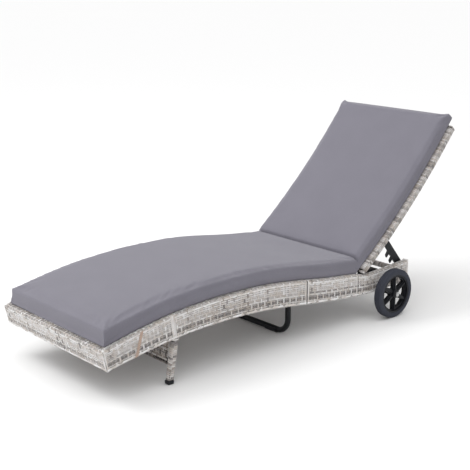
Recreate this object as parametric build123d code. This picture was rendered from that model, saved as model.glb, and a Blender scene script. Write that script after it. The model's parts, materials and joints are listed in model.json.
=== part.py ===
"""Reclining sun lounger: woven side rails, hinged backrest on two notched stays, two wheels at the head.

X runs from the foot end to the head end, Y to the left, Z up.  The outlines are laid out with X = 0 at the
foot end, and everything is moved at the end so that the origin lies on the ground under the middle.
"""

import math
import os

from build123d import *

# ---- overall sizes (mm) ----
FRAME_WIDTH = 625.0        # over the woven rails
SEAT_LENGTH = 1241.0       # foot end to hinge
TAIL_LENGTH = 264.0        # hinge to the head end of the rails
FOOT_HEIGHT = 191.0        # top of the rails at the foot end
CREST_HEIGHT = 262.0       # top of the rails under the knees
HINGE_HEIGHT = 209.0
BACK_LENGTH = 732.0        # backrest frame along its curve
BACK_ANGLE = 38.0          # slope of the raised backrest at the hinge, degrees
BACK_RADIUS = 3300.0       # the backrest is a gentle hollow curve

# ---- woven skin and tubes ----
WEAVE = 3.0
WEAVE_GAP = 0.3            # room between the skin and the tube inside it
RAIL_TUBE = 20.0
TUBE_WALL = 1.5
BACK_TUBE_DEPTH = 24.0
CROSS_TUBE_RADIUS = 9.0
GAP = 0.3                  # between neighbours that touch on the real lounger
BEYOND = 400.0             # a cutter's reach, past anything it trims
CLEAR = 1.0                # how far a cutter stands proud of what it cuts

# ---- cushions ----
CUSHION_INSET = 11.0       # rail's outer face to the cushion's side
SEAT_CUSHION = 57.0
BACK_CUSHION = 44.0
CUSHION_OVERHANG = 44.0    # past the top of the backrest frame
CUSHION_START = 15.0       # from the hinge, along the backrest
CUSHION_LIFT = 2.0         # straps lie between the cushion and the rail
CUSHION_FOOT = 1.0         # from the foot end's lower corner

# ---- joint between the foot and head halves ----
JOINT_AT = 0.7365          # share of the seat length
JOINT_GAP = 1.0
JOINT_TUBE = 14.0
JOINT_TUBE_HEIGHT = 40.0
BOLT_RADIUS = 4.0
BOLT_ROOM = 0.2
HEAD_RADIUS = 6.8
HEAD_HEIGHT = 5.0

# ---- front legs ----
LEG_FROM_FOOT = 264.0      # leg centre on the ground
LEG_LEAN = 9.0
FOOT_CAP = 14.0
PANEL_LOW = 62.0

# ---- middle leg ----
LEG_TUBE_RADIUS = 11.0
LEG_INSET = 49.5           # rail's inner face to an upright's centre
LEG_BEND = 56.0
GLIDE = 2.0                # plastic under the tube
GLIDE_LENGTH = 60.0
GLIDE_IN = 87.0            # an upright's centre to the glide's middle

# ---- wheels ----
WHEEL_RADIUS = 100.0
WHEEL_AHEAD = 121.0        # hinge to axle
WHEEL_WIDTH = 34.0
WHEEL_OUT = 26.0           # rail face to wheel
TYRE_DEPTH = 22.0
RIM_DEPTH = 9.0
HUB_RADIUS = 17.0
SPOKES = 6
AXLE_RADIUS = 6.0
RUNNING = 0.06

# ---- hinge and stays ----
HINGE_BOLT = 5.0
BRACKET = 4.0
STAY_PLATE = 3.0
STAY_INSET = 5.0           # rail's inner face to the stay
STAY_PIVOT_AT = 170.0      # along the backrest
STAY_PIVOT_BACK = 4.0      # behind the tube's centre line
STAY_ANGLE = -50.0         # raised, below the horizontal
STAY_BODY = 15.6           # half width
STAY_LENGTH = 186.0
NOTCH_PITCH = 36.0
LAST_NOTCH = 163.0
NOTCH_WIDTH = 9.0
NOTCH_FLOOR = 18.0
HOOK_REACH = 38.0
HOOK_WIDTH = 19.0
PIN_RADIUS = 4.0
REAR_TUBE_AHEAD = 199.0    # hinge to the wrapped cross tube
REAR_TUBE_HEIGHT = 174.0

STRAP_WIDTH = 12.0
STRAP_THICK = 1.2
STRAP_AT = 125.0

STRAP_SLACK = 1.5

# ---- struts, deck and cross tubes ----
STRUT_WIDTH = 20.0
END_STRUT = 14.0           # the ends of the rails to the struts' middles
HINGE_STRUT_WIDTH = 60.0
HINGE_STRUT_AHEAD = 33.0   # hinge to the wide strut's middle
HINGE_STRUT = 5            # its place in the list of struts
DECK = 4.0
DECK_DROP = 1.0
DECK_SIDE = 2.0            # slot for the straps along the deck's edge
DECK_SHORT = 34.0          # the deck stops this far short of the hinge
END_TUBE = 20.0
CROSS_SHARES = [0.4, 0.57, 0.86]
CROSS_FROM_END = 3.0
LEG_CROSS_AHEAD = 8.0
TAIL_TUBE_INSET = 14.0

# ---- fasteners and fits ----
BLIND = 9.0                # a bolt's end, from the tube's outer face
SEAT_GAP = 0.1             # under a bolt's head
BOLT_PAST = 3.0            # thread past the nut
BRACKET_BOLT_RADIUS = 3.0
BRACKET_BOLT_SPREAD = 18.0
BRACKET_BOLT_DROP = 59.0
BRACKET_HEAD_RADIUS = 5.5
BRACKET_HEAD = 4.0
BRACKET_EYE = 16.0
BRACKET_EDGE = 14.0
BRACKET_CLEAR = 11.0       # room for the backrest's lower cross tube when it is flat
HINGE_HEAD_RADIUS = 9.0
HINGE_HEAD = 6.0
HINGE_PLUG = 22.0          # solid end of the backrest's tube
JOINT_BOLT_INSET = 24.5    # rail's inner face to the outer bolts
JOINT_BOLT_INNER = 95.0
PIN_PAST = 3.0
PIN_COLLAR = 2.8
STAY_EYE = 14.0

# ---- smaller sizes of the legs ----
TUBE_LOW = 5.0             # a front leg's tube stops in its cap
LEG_TOP_HEIGHT = 225.0
LEG_BUTT = 2.0             # a front leg's end runs this far up the rail
CAP_PROUD = 1.0
CAP_AHEAD = 1.0
LEG_TOP_DROP = 2.0
GLIDE_WALL = 3.0
GLIDE_GRIP = 6.0           # how far the glide reaches over the bar's middle
GLIDE_ROOM = 0.1

# ---- smaller sizes of the wheels ----
AXLE_PAST = 9.0
SADDLE_HALF = 17.0
SADDLE_LOW = 10.0
SADDLE_INSET = 3.0
SPACER_RADIUS = 10.0
WHEEL_PLAY = 0.5
WHEEL_NUT_RADIUS = 11.0
WHEEL_NUT = 8.0
TYRE_SHOULDER = 7.0
TYRE_FIT = 0.1
SPOKE_SUNK = 5.0
SPOKE_ROOT = 9.5
SPOKE_TIP = 6.5
RIB_ROOT = 3.0
RIB_TIP = 2.0
RIB_IN = 5.0
WEB_IN = 9.0
WEB = 7.0
RIM_IN = 2.0
RIM_WALL = 6.0
RIM_LIP = 3.0
FIRST_SPOKE = 90.0

# ---- smaller sizes of the backrest ----
TOP_WRAP = 26.0
PANEL_SUNK = 0.5
BACK_CROSS = [26.0, 408.0]
BACK_CROSS_SIZE = 18.0
BACK_DECK_START = 24.0
CUSHION_CREASE = 3.0       # between the two cushions

# ---- worked out ----
HALF = FRAME_WIDTH / 2
RAIL_WIDTH = RAIL_TUBE + 2 * WEAVE
INNER = HALF - RAIL_WIDTH
HINGE_X = SEAT_LENGTH
JOINT_X = JOINT_AT * SEAT_LENGTH
TAIL_X = SEAT_LENGTH + TAIL_LENGTH
SKIN = WEAVE + WEAVE_GAP
BACK_HALF = BACK_TUBE_DEPTH / 2 + WEAVE
AXLE_X = HINGE_X + WHEEL_AHEAD
LEG_Y = INNER - LEG_INSET
GLIDE_AT = LEG_Y - GLIDE_IN

# the rail's outline: share of the seat or tail length, top above its reference, depth of the rail
SEAT_STATIONS = [
    (-0.008, FOOT_HEIGHT, 76.0),
    (0.12, FOOT_HEIGHT + 35.0, 84.0),
    (0.246, CREST_HEIGHT - 12.0, 89.0),
    (0.42, CREST_HEIGHT, 92.0),
    (0.575, CREST_HEIGHT - 4.5, 95.0),
    (0.747, CREST_HEIGHT - 29.0, 96.0),
    (0.88, HINGE_HEIGHT + 2.0, 93.0),
    (0.95, HINGE_HEIGHT - 7.0, 91.0),
    (1.0, HINGE_HEIGHT - BACK_HALF - 3.0, 84.0),
]
TAIL_STATIONS = [
    (0.45, HINGE_HEIGHT - 16.5, 85.0),
    (0.8, HINGE_HEIGHT - 11.0, 89.0),
    (1.0, HINGE_HEIGHT - 7.0, 91.0),
]


def stations():
    """The rail's outline as (x, top, depth), from the foot end to the head end."""
    seat = [(share * SEAT_LENGTH, top, depth) for share, top, depth in SEAT_STATIONS]
    tail = [(SEAT_LENGTH + share * TAIL_LENGTH, top, depth) for share, top, depth in TAIL_STATIONS]
    return seat + tail


FOOT_TILT = math.tan(math.radians(13.0))
TOP = Spline(*[(x, 0, top) for x, top, depth in stations()])
BOTTOM = Spline(*[
    (x + depth * FOOT_TILT * max(0.0, 1 - 4 * max(0.0, x) / SEAT_LENGTH), 0, top - depth)
    for x, top, depth in stations()
])


def share_at(curve, x):
    """How far along a rail curve a place along the lounger is, from 0 to 1."""
    low = 0.0
    high = 1.0
    for step in range(40):
        middle = (low + high) / 2
        if (curve @ middle).X < x:
            low = middle
        else:
            high = middle
    return low


def at_x(curve, x):
    """The point of a rail curve at a place along the lounger."""
    return curve @ share_at(curve, x)


def beside(curve, depth, start=None, end=None):
    """A curve a set depth below another (above it when negative), between two places along the lounger."""
    count = 25
    points = []
    for step in range(count):
        share = step / (count - 1)
        along = curve % share
        points.append(curve @ share + Vector(along.Z, 0, -along.X) * depth)
    whole = Spline(*points)
    first = 0.0 if start is None else share_at(whole, start)
    last = 1.0 if end is None else share_at(whole, end)
    return whole.trim(first, last)


def slab(edges, y0, y1):
    """A flat outline in the XZ plane as a solid from y0 to y1."""
    face = Face(Wire(edges))
    return Solid.extrude(face, Vector(0, y1 - y0, 0)).moved(Location((0, y0, 0)))


def between(upper, lower, y0, y1):
    """The solid between two curves that run along the lounger."""
    edges = [upper, Line(upper @ 1, lower @ 1), lower, Line(lower @ 0, upper @ 0)]
    return slab(edges, y0, y1)


def plate(points, y0, y1):
    """A flat plate with straight edges, from y0 to y1."""
    corners = [Vector(x, 0, z) for x, z in points]
    edges = [Line(a, b) for a, b in zip(corners, corners[1:] + corners[:1])]
    return slab(edges, y0, y1)


def block(x0, x1, y0, y1, z0, z1):
    """A box from its corners."""
    centre = Location(((x0 + x1) / 2, (y0 + y1) / 2, (z0 + z1) / 2))
    return centre * Box(x1 - x0, y1 - y0, z1 - z0)


def rod(x, z, radius, y0, y1):
    """A round bar along Y."""
    return Location(((x), (y0 + y1) / 2, z), (90, 0, 0)) * Cylinder(radius, y1 - y0)


def rod_x(y, z, radius, x0, x1):
    """A round bar along X."""
    return Location(((x0 + x1) / 2, y, z), (0, 90, 0)) * Cylinder(radius, x1 - x0)


def hexagon(x, z, radius, y0, y1):
    """A hexagonal head or nut along Y."""
    turned = Location((x, (y0 + y1) / 2, z), (90, 0, 0))
    return turned * extrude(RegularPolygon(radius, 6), (y1 - y0) / 2, both=True)


def hexagon_x(y, z, radius, x0, x1):
    """A hexagonal head or nut along X."""
    turned = Location(((x0 + x1) / 2, y, z), (0, 90, 0))
    return turned * extrude(RegularPolygon(radius, 6), (x1 - x0) / 2, both=True)


def other_side(shape):
    """The same piece on the left-hand (+Y) side."""
    return mirror(shape, about=Plane.XZ)


def group(shapes):
    """Several separate solids in one node."""
    return Compound(children=[solid for shape in shapes for solid in shape.solids()])


PARTS = {}


def add(name, shape):
    """Keep one node."""
    PARTS[name] = shape


def add_pair(name, shape):
    """Keep a right-hand (-Y) piece and its left-hand twin."""
    add(name + "_right", shape)
    add(name + "_left", other_side(shape))


def add_both(name, shape):
    """Keep a right-hand piece and its left-hand twin as two solids in one node."""
    add(name, group([shape, other_side(shape)]))


# ---- side rails ----
Y_OUT = -HALF
Y_IN = -INNER
TUBE_Y0 = Y_OUT + WEAVE
TUBE_Y1 = TUBE_Y0 + RAIL_TUBE
ROOM = RAIL_TUBE + 2 * WEAVE_GAP
SLEEVE = 2 * WEAVE + ROOM  # the skin round one tube


# the foot end leans with the rails' ends
end_top = TOP @ 0
end_low = BOTTOM @ 0
lean = (end_top - end_low).normalized()
inward = Vector(lean.Z, 0, -lean.X)
end_height = (end_top - end_low).length


def foot_end(across0, across1, up0, up1, half_width):
    """A bar along the foot end, placed from the lower corner: across is towards the head, up along the end."""
    corners = [(across0, up0), (across1, up0), (across1, up1), (across0, up1)]
    points = [end_low + inward * across + lean * up for across, up in corners]
    return plate([(point.X, point.Z) for point in points], -half_width, half_width)


def rail_tube(curve, sign, x0, x1):
    """A square tube that follows the rail just inside its skin."""

    def side(inset):
        return beside(curve, sign * (SKIN + inset), x0, x1)

    wall = TUBE_WALL
    outer = between(side(0), side(RAIL_TUBE), TUBE_Y0 + GAP, TUBE_Y1 - GAP)
    tube = outer - between(side(wall), side(RAIL_TUBE - wall), TUBE_Y0 + GAP + wall, TUBE_Y1 - GAP - wall)
    return tube - foot_end(-RAIL_TUBE, 0, 0, end_height, HALF)


def rail_skin(x0, x1):
    """The woven skin: a wall on the outer side, closed round the upper and the lower tube."""

    def band(upper, lower, y0, y1):
        return between(beside(TOP, upper, x0, x1), beside(BOTTOM, lower, x0, x1), y0, y1)

    upper_room = between(beside(TOP, WEAVE, x0, x1), beside(TOP, WEAVE + ROOM, x0, x1), TUBE_Y0, TUBE_Y1)
    lower_room = between(
        beside(BOTTOM, -WEAVE - ROOM, x0, x1), beside(BOTTOM, -WEAVE, x0, x1), TUBE_Y0, TUBE_Y1
    )
    return band(0, 0, Y_OUT, Y_IN) - upper_room - lower_room - band(SLEEVE, -SLEEVE, TUBE_Y0, Y_IN + CLEAR)


HINGE_STRUT_X = HINGE_X + HINGE_STRUT_AHEAD
STRUTS = [
    (SEAT_LENGTH * 0.02, STRUT_WIDTH),
    (SEAT_LENGTH * 0.22, STRUT_WIDTH),
    (SEAT_LENGTH * 0.48, STRUT_WIDTH),
    (JOINT_X - END_STRUT, STRUT_WIDTH),
    (JOINT_X + END_STRUT, STRUT_WIDTH),
    (HINGE_STRUT_X, HINGE_STRUT_WIDTH),
    (TAIL_X - END_STRUT, STRUT_WIDTH),
]


def strut(x, width, extra):
    """An upright between the two rail tubes, or the room for it when extra is more than nothing."""
    depth = SKIN + RAIL_TUBE + GAP
    middle = between(beside(TOP, depth), beside(BOTTOM, -depth), TUBE_Y0, TUBE_Y1)
    x0 = x - width / 2
    x1 = x + width / 2
    if extra > 0:
        return block(x0 - extra, x1 + extra, TUBE_Y0, TUBE_Y1, 0, BEYOND) & middle
    wall = TUBE_WALL
    post = block(x0, x1, TUBE_Y0 + GAP, TUBE_Y1 - GAP, 0, BEYOND)
    core = block(x0 + wall, x1 - wall, TUBE_Y0 + GAP + wall, TUBE_Y1 - GAP - wall, 0, BEYOND)
    return (post - core) & middle


posts = [strut(place, width, 0) for place, width in STRUTS]

# the hinge bracket's bolts go into the wide strut
BRACKET_BOLTS = [HINGE_STRUT_X - BRACKET_BOLT_SPREAD, HINGE_STRUT_X + BRACKET_BOLT_SPREAD]
BRACKET_BOLT_Z = HINGE_HEIGHT - BRACKET_BOLT_DROP
for place in BRACKET_BOLTS:
    hole = rod(place, BRACKET_BOLT_Z, BRACKET_BOLT_RADIUS + BOLT_ROOM, TUBE_Y0 + BLIND - CLEAR, Y_IN + CLEAR)
    posts[HINGE_STRUT] = posts[HINGE_STRUT] - hole

halves = {
    "foot": (None, JOINT_X - JOINT_GAP / 2),
    "head": (JOINT_X + JOINT_GAP / 2, None),
}
for half, (x0, x1) in halves.items():
    skin = rail_skin(x0, x1)
    for place, width in STRUTS:
        skin = skin - strut(place, width, GAP)
    add_pair("side_skirt_" + half, skin)
    add_both("upper_rail_tubes_" + half, rail_tube(TOP, 1, x0, x1))
    add_both("lower_rail_tubes_" + half, rail_tube(BOTTOM, -1, x0, x1))
add_both("rail_struts", group(posts))


# ---- deck and cross tubes ----
CROSS_DEPTH = DECK_DROP + DECK + GAP + CROSS_TUBE_RADIUS
CROSS_HALF = INNER - GAP


def cross_tube(x, z):
    """A round tube from rail to rail."""
    return rod(x, z, CROSS_TUBE_RADIUS, -CROSS_HALF, CROSS_HALF) - rod(
        x, z, CROSS_TUBE_RADIUS - TUBE_WALL, -CROSS_HALF, CROSS_HALF
    )


def under_deck(x):
    """The height of a cross tube's centre under the deck."""
    share = share_at(TOP, x)
    slope = TOP % share
    return (TOP @ share).Z - CROSS_DEPTH / slope.X


DECK_END = HINGE_X - DECK_SHORT
deck_half = INNER - DECK_SIDE


def deck(x0, x1):
    """A stretch of the woven deck."""
    upper = beside(TOP, DECK_DROP, x0, x1)
    return between(upper, beside(TOP, DECK_DROP + DECK, x0, x1), -deck_half, deck_half)


LEG_TOP_X = LEG_FROM_FOOT + math.tan(math.radians(LEG_LEAN)) * LEG_TOP_HEIGHT
CROSS_PLACES = [LEG_TOP_X + LEG_CROSS_AHEAD]
CROSS_PLACES += [SEAT_LENGTH * share for share in CROSS_SHARES]
CROSS_PLACES += [DECK_END - CROSS_TUBE_RADIUS - CROSS_FROM_END]
add("seat_cross_tubes", group([cross_tube(x, under_deck(x)) for x in CROSS_PLACES]))
FOOT_TUBE_DEPTH = END_TUBE + 2 * SKIN
add("seat_deck_foot", deck(FOOT_TUBE_DEPTH - 2 * CLEAR, JOINT_X - JOINT_GAP / 2))
add("seat_deck_head", deck(JOINT_X + JOINT_GAP / 2, DECK_END))

# foot end: two square tubes in a woven channel
skirt = foot_end(-WEAVE, 0, 0, end_height, HALF)
skirt_channel = foot_end(-WEAVE, FOOT_TUBE_DEPTH - SKIN, 0, end_height, CROSS_HALF)
skirt_channel = skirt_channel - foot_end(0, BEYOND, WEAVE, end_height - WEAVE, CROSS_HALF + CLEAR)
add("foot_end_skirt", skirt.fuse(skirt_channel))


def foot_end_tube(up):
    """A square tube across the foot end."""
    wall = TUBE_WALL
    outer = foot_end(GAP, GAP + END_TUBE, up, up + END_TUBE, CROSS_HALF)
    inner = foot_end(GAP + wall, GAP + END_TUBE - wall, up + wall, up + END_TUBE - wall, CROSS_HALF + CLEAR)
    return outer - inner


add("foot_end_lower_tube", foot_end_tube(SKIN))
add("foot_end_upper_tube", foot_end_tube(end_height - SKIN - END_TUBE))

# knock-down joint: two flat tubes bolted face to face
JOINT_Z1 = under_deck(JOINT_X + JOINT_GAP / 2 + JOINT_TUBE) + CROSS_TUBE_RADIUS
JOINT_Z0 = JOINT_Z1 - JOINT_TUBE_HEIGHT
JOINT_BOLT_Z = (JOINT_Z0 + JOINT_Z1) / 2
joint_bolt_outer = INNER - JOINT_BOLT_INSET
JOINT_BOLT_YS = [-joint_bolt_outer, -JOINT_BOLT_INNER, JOINT_BOLT_INNER, joint_bolt_outer]
all_bolt_ys = JOINT_BOLT_YS + [-LEG_Y, LEG_Y]


def joint_tube(x0, x1):
    """A flat tube across the lounger, drilled for the bolts."""
    outer = block(x0, x1, -CROSS_HALF, CROSS_HALF, JOINT_Z0, JOINT_Z1)
    wall = TUBE_WALL
    tube = outer - block(x0 + wall, x1 - wall, -HALF, HALF, JOINT_Z0 + wall, JOINT_Z1 - wall)
    for y in all_bolt_ys:
        tube = tube - rod_x(y, JOINT_BOLT_Z, BOLT_RADIUS + BOLT_ROOM, x0 - CLEAR, x1 + CLEAR)
    return tube


foot_side = JOINT_X - JOINT_GAP / 2 - JOINT_TUBE
head_side = JOINT_X + JOINT_GAP / 2 + JOINT_TUBE
add("joint_tube_foot", joint_tube(foot_side, foot_side + JOINT_TUBE))
add("joint_tube_head", joint_tube(head_side - JOINT_TUBE, head_side))


def joint_bolt(y, x0):
    """A hexagon bolt along X, with its head at x0."""
    head = hexagon_x(y, JOINT_BOLT_Z, HEAD_RADIUS, x0 - HEAD_HEIGHT, x0)
    return head + rod_x(y, JOINT_BOLT_Z, BOLT_RADIUS, x0 - CLEAR, head_side + HEAD_HEIGHT + BOLT_PAST)


def joint_nut(y):
    """The nut of a joint bolt."""
    nut = hexagon_x(y, JOINT_BOLT_Z, HEAD_RADIUS, head_side, head_side + HEAD_HEIGHT)
    hole = rod_x(y, JOINT_BOLT_Z, BOLT_RADIUS + RUNNING, head_side - CLEAR, head_side + HEAD_HEIGHT + CLEAR)
    return nut - hole


add("joint_bolts", group([joint_bolt(y, foot_side) for y in JOINT_BOLT_YS]))
add("joint_nuts", group([joint_nut(y) for y in all_bolt_ys]))

# ---- middle leg: a bent tube that stands on two plastic glides ----
LEG_X = foot_side - LEG_TUBE_RADIUS - GAP
LEG_BAR_Z = GLIDE + LEG_TUBE_RADIUS
LEG_TOP_Z = JOINT_Z1 - LEG_TOP_DROP
path = FilletPolyline(
    (LEG_X, -LEG_Y, LEG_TOP_Z),
    (LEG_X, -LEG_Y, LEG_BAR_Z),
    (LEG_X, LEG_Y, LEG_BAR_Z),
    (LEG_X, LEG_Y, LEG_TOP_Z),
    radius=LEG_BEND,
)
ring = Circle(LEG_TUBE_RADIUS) - Circle(LEG_TUBE_RADIUS - TUBE_WALL)
middle_leg = sweep(Plane(origin=path @ 0, z_dir=path % 0) * ring, path=path)
for y in (-LEG_Y, LEG_Y):
    x0 = LEG_X - LEG_TUBE_RADIUS - CLEAR
    x1 = LEG_X + LEG_TUBE_RADIUS + CLEAR
    middle_leg = middle_leg - rod_x(y, JOINT_BOLT_Z, BOLT_RADIUS + BOLT_ROOM, x0, x1)
add("middle_leg", middle_leg)
add("middle_leg_bolts", group([joint_bolt(y, LEG_X - LEG_TUBE_RADIUS - GAP) for y in (-LEG_Y, LEG_Y)]))


def glide(y):
    """A plastic saddle clipped round the bottom bar, flat where it stands."""
    y0 = y - GLIDE_LENGTH / 2
    y1 = y + GLIDE_LENGTH / 2
    outer = rod(LEG_X, LEG_BAR_Z, LEG_TUBE_RADIUS + GLIDE_WALL, y0, y1)
    outer = outer & block(LEG_X - BEYOND, LEG_X + BEYOND, y0, y1, 0, LEG_BAR_Z + GLIDE_GRIP)
    return outer - rod(LEG_X, LEG_BAR_Z, LEG_TUBE_RADIUS + GLIDE_ROOM, y0 - CLEAR, y1 + CLEAR)


add("middle_leg_glides", group([glide(-GLIDE_AT), glide(GLIDE_AT)]))


# ---- front legs ----
def leaning(shape):
    """Turn an upright piece about the leg's foot so that it leans with the leg."""
    return Location((LEG_FROM_FOOT, 0, 0), (0, LEG_LEAN, 0)) * shape


leg_y = (Y_OUT + Y_IN) / 2
rail_solid = between(TOP, beside(BOTTOM, GAP), Y_OUT - CLEAR, Y_IN + CLEAR)
leg_top_z = at_x(BOTTOM, LEG_TOP_X).Z + LEG_BUTT


def leg_column(width, low):
    """A square column from a height above the ground up to the rail."""
    column = leaning(block(-width / 2, width / 2, leg_y - width / 2, leg_y + width / 2, -BEYOND, BEYOND))
    return (column - rail_solid) & block(0, SEAT_LENGTH, -FRAME_WIDTH, 0, low, leg_top_z)


leg_tube_width = RAIL_TUBE - 2 * GAP
leg_tube = leg_column(leg_tube_width, TUBE_LOW) - leg_column(leg_tube_width - 2 * TUBE_WALL, TUBE_LOW - CLEAR)
leg_room = leg_column(RAIL_TUBE, TUBE_LOW - GAP)
add_both("front_leg_tubes", leg_tube)
add_pair("front_leg_wrap", leg_column(RAIL_WIDTH, FOOT_CAP + GAP) - leg_room)
cap_half = RAIL_WIDTH / 2 + CAP_PROUD
cap_x = LEG_FROM_FOOT + CAP_AHEAD
cap = block(cap_x - cap_half, cap_x + cap_half, Y_OUT - CAP_PROUD, Y_IN + CAP_PROUD, 0, FOOT_CAP) - leg_room
add_pair("front_foot", cap)

# a woven panel between the front legs, hemmed round a tube
STRETCHER_Z = PANEL_LOW + WEAVE + CROSS_TUBE_RADIUS
stretcher_x = LEG_FROM_FOOT + math.tan(math.radians(LEG_LEAN)) * STRETCHER_Z
add("front_leg_stretcher", cross_tube(stretcher_x, STRETCHER_Z))
PANEL_OFF = CROSS_TUBE_RADIUS + GAP
panel = leaning(block(-PANEL_OFF - WEAVE, -PANEL_OFF, -CROSS_HALF, CROSS_HALF, 0, BEYOND))
hem = rod(stretcher_x, STRETCHER_Z, PANEL_OFF + WEAVE, -CROSS_HALF, CROSS_HALF)
hem = hem - rod(stretcher_x, STRETCHER_Z, PANEL_OFF, -HALF, HALF)
panel = panel & block(0, SEAT_LENGTH, -HALF, HALF, STRETCHER_Z, BEYOND)
panel = panel - between(beside(TOP, -CREST_HEIGHT), beside(TOP, DECK_DROP + DECK + GAP), -HALF, HALF)
panel = panel - rod(CROSS_PLACES[0], under_deck(CROSS_PLACES[0]), CROSS_TUBE_RADIUS + GAP, -HALF, HALF)
panel = panel + hem
panel = panel - rod(stretcher_x, STRETCHER_Z, PANEL_OFF, -HALF, HALF)
add("front_leg_panel", panel)

# ---- tail of the frame ----
REAR_X = HINGE_X + REAR_TUBE_AHEAD
add("rear_cross_tube", cross_tube(REAR_X, REAR_TUBE_HEIGHT))
wrap_radius = CROSS_TUBE_RADIUS + GAP + WEAVE
rear_wrap = rod(REAR_X, REAR_TUBE_HEIGHT, wrap_radius, -CROSS_HALF, CROSS_HALF)
add("rear_cross_wrap", rear_wrap - rod(REAR_X, REAR_TUBE_HEIGHT, CROSS_TUBE_RADIUS + GAP, -HALF, HALF))
END_X = TAIL_X - TAIL_TUBE_INSET
add("tail_tube", cross_tube(END_X, at_x(BOTTOM, END_X).Z + SKIN + CROSS_TUBE_RADIUS))

# ---- axle and wheels ----
AXLE_Z = WHEEL_RADIUS
WHEEL_Y0 = HALF + WHEEL_OUT
WHEEL_Y1 = WHEEL_Y0 + WHEEL_WIDTH
AXLE_END = WHEEL_Y1 + AXLE_PAST
add("axle", rod(AXLE_X, AXLE_Z, AXLE_RADIUS, -AXLE_END, AXLE_END))
saddle_x0 = AXLE_X - SADDLE_HALF
saddle_x1 = AXLE_X + SADDLE_HALF
inside_rail = at_x(TOP, AXLE_X).Z - SADDLE_HALF
saddle = block(saddle_x0, saddle_x1, Y_OUT, Y_IN - SADDLE_INSET, AXLE_Z - SADDLE_LOW, inside_rail)
saddle = saddle - rail_solid
saddle = saddle - rod(AXLE_X, AXLE_Z, AXLE_RADIUS + RUNNING, -HALF - CLEAR, 0)
add_both("axle_saddles", saddle)
spacer = rod(AXLE_X, AXLE_Z, SPACER_RADIUS, -WHEEL_Y0 + WHEEL_PLAY, -HALF - GAP)
add_both("wheel_spacers", spacer - rod(AXLE_X, AXLE_Z, AXLE_RADIUS + RUNNING, -WHEEL_Y0, 0))
nut = hexagon(AXLE_X, AXLE_Z, WHEEL_NUT_RADIUS, -WHEEL_Y1 - WHEEL_NUT, -WHEEL_Y1 - WHEEL_PLAY)
add_both("wheel_nuts", nut - rod(AXLE_X, AXLE_Z, AXLE_RADIUS + RUNNING, -AXLE_END, 0))

TYRE_INNER = WHEEL_RADIUS - TYRE_DEPTH
RIM_INNER = TYRE_INNER - RIM_DEPTH


def tyre():
    """The soft tread ring, rounded at its shoulders."""
    ring = rod(AXLE_X, AXLE_Z, WHEEL_RADIUS, -WHEEL_Y1, -WHEEL_Y0)
    ring = fillet(ring.edges(), TYRE_SHOULDER)
    return ring - rod(AXLE_X, AXLE_Z, TYRE_INNER + TYRE_FIT, -WHEEL_Y1 - CLEAR, -WHEEL_Y0 + CLEAR)


def tapered(root_half, tip_half, y0, y1):
    """A bar from the hub to the rim, narrower at the rim."""
    root = HUB_RADIUS - SPOKE_SUNK
    tip = RIM_INNER + CLEAR
    return plate([(root, -root_half), (tip, -tip_half), (tip, tip_half), (root, root_half)], y0, y1)


def spoke(angle):
    """A tapered spoke with a rib down its middle."""
    flat = tapered(SPOKE_ROOT, SPOKE_TIP, -WHEEL_Y1 + WEB_IN, -WHEEL_Y1 + WEB_IN + WEB)
    rib = tapered(RIB_ROOT, RIB_TIP, -WHEEL_Y1 + RIB_IN, -WHEEL_Y0 - RIB_IN)
    return Location((AXLE_X, 0, AXLE_Z), (0, angle, 0)) * (flat + rib)


def wheel():
    """Hub, spokes and rim in one moulding."""
    rim = rod(AXLE_X, AXLE_Z, TYRE_INNER, -WHEEL_Y1 + RIM_IN, -WHEEL_Y0 - RIM_IN)
    rim = rim - rod(AXLE_X, AXLE_Z, TYRE_INNER - RIM_WALL, -WHEEL_Y1, -WHEEL_Y0)
    web = rod(AXLE_X, AXLE_Z, TYRE_INNER - RIM_WALL + CLEAR, -WHEEL_Y1 + WEB_IN, -WHEEL_Y1 + WEB_IN + WEB)
    web = web - rod(AXLE_X, AXLE_Z, RIM_INNER - RIM_LIP, -WHEEL_Y1, -WHEEL_Y0)
    moulding = rim + web + rod(AXLE_X, AXLE_Z, HUB_RADIUS, -WHEEL_Y1, -WHEEL_Y0)
    for index in range(SPOKES):
        moulding = moulding + spoke(FIRST_SPOKE + index * 360 / SPOKES)
    return moulding - rod(AXLE_X, AXLE_Z, AXLE_RADIUS + RUNNING, -WHEEL_Y1 - CLEAR, -WHEEL_Y0 + CLEAR)


add_pair("tyre", tyre())
add_pair("wheel", wheel())


# ---- backrest ----
def back_point(along, out):
    """A point of the raised backrest: along its centre line from the hinge, and out towards the sitter."""
    start = math.radians(BACK_ANGLE)
    turn = start + along / BACK_RADIUS
    x = HINGE_X + BACK_RADIUS * (math.sin(turn) - math.sin(start)) - out * math.sin(turn)
    z = HINGE_HEIGHT + BACK_RADIUS * (math.cos(start) - math.cos(turn)) + out * math.cos(turn)
    return Vector(x, 0, z)


def back_band(start, end, low, high, y0, y1):
    """A curved bar or sheet of the backrest."""
    middle = (start + end) / 2
    under = ThreePointArc(back_point(start, low), back_point(middle, low), back_point(end, low))
    over = ThreePointArc(back_point(start, high), back_point(middle, high), back_point(end, high))
    return slab([under, Line(under @ 1, over @ 1), over, Line(over @ 0, under @ 0)], y0, y1)


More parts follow.
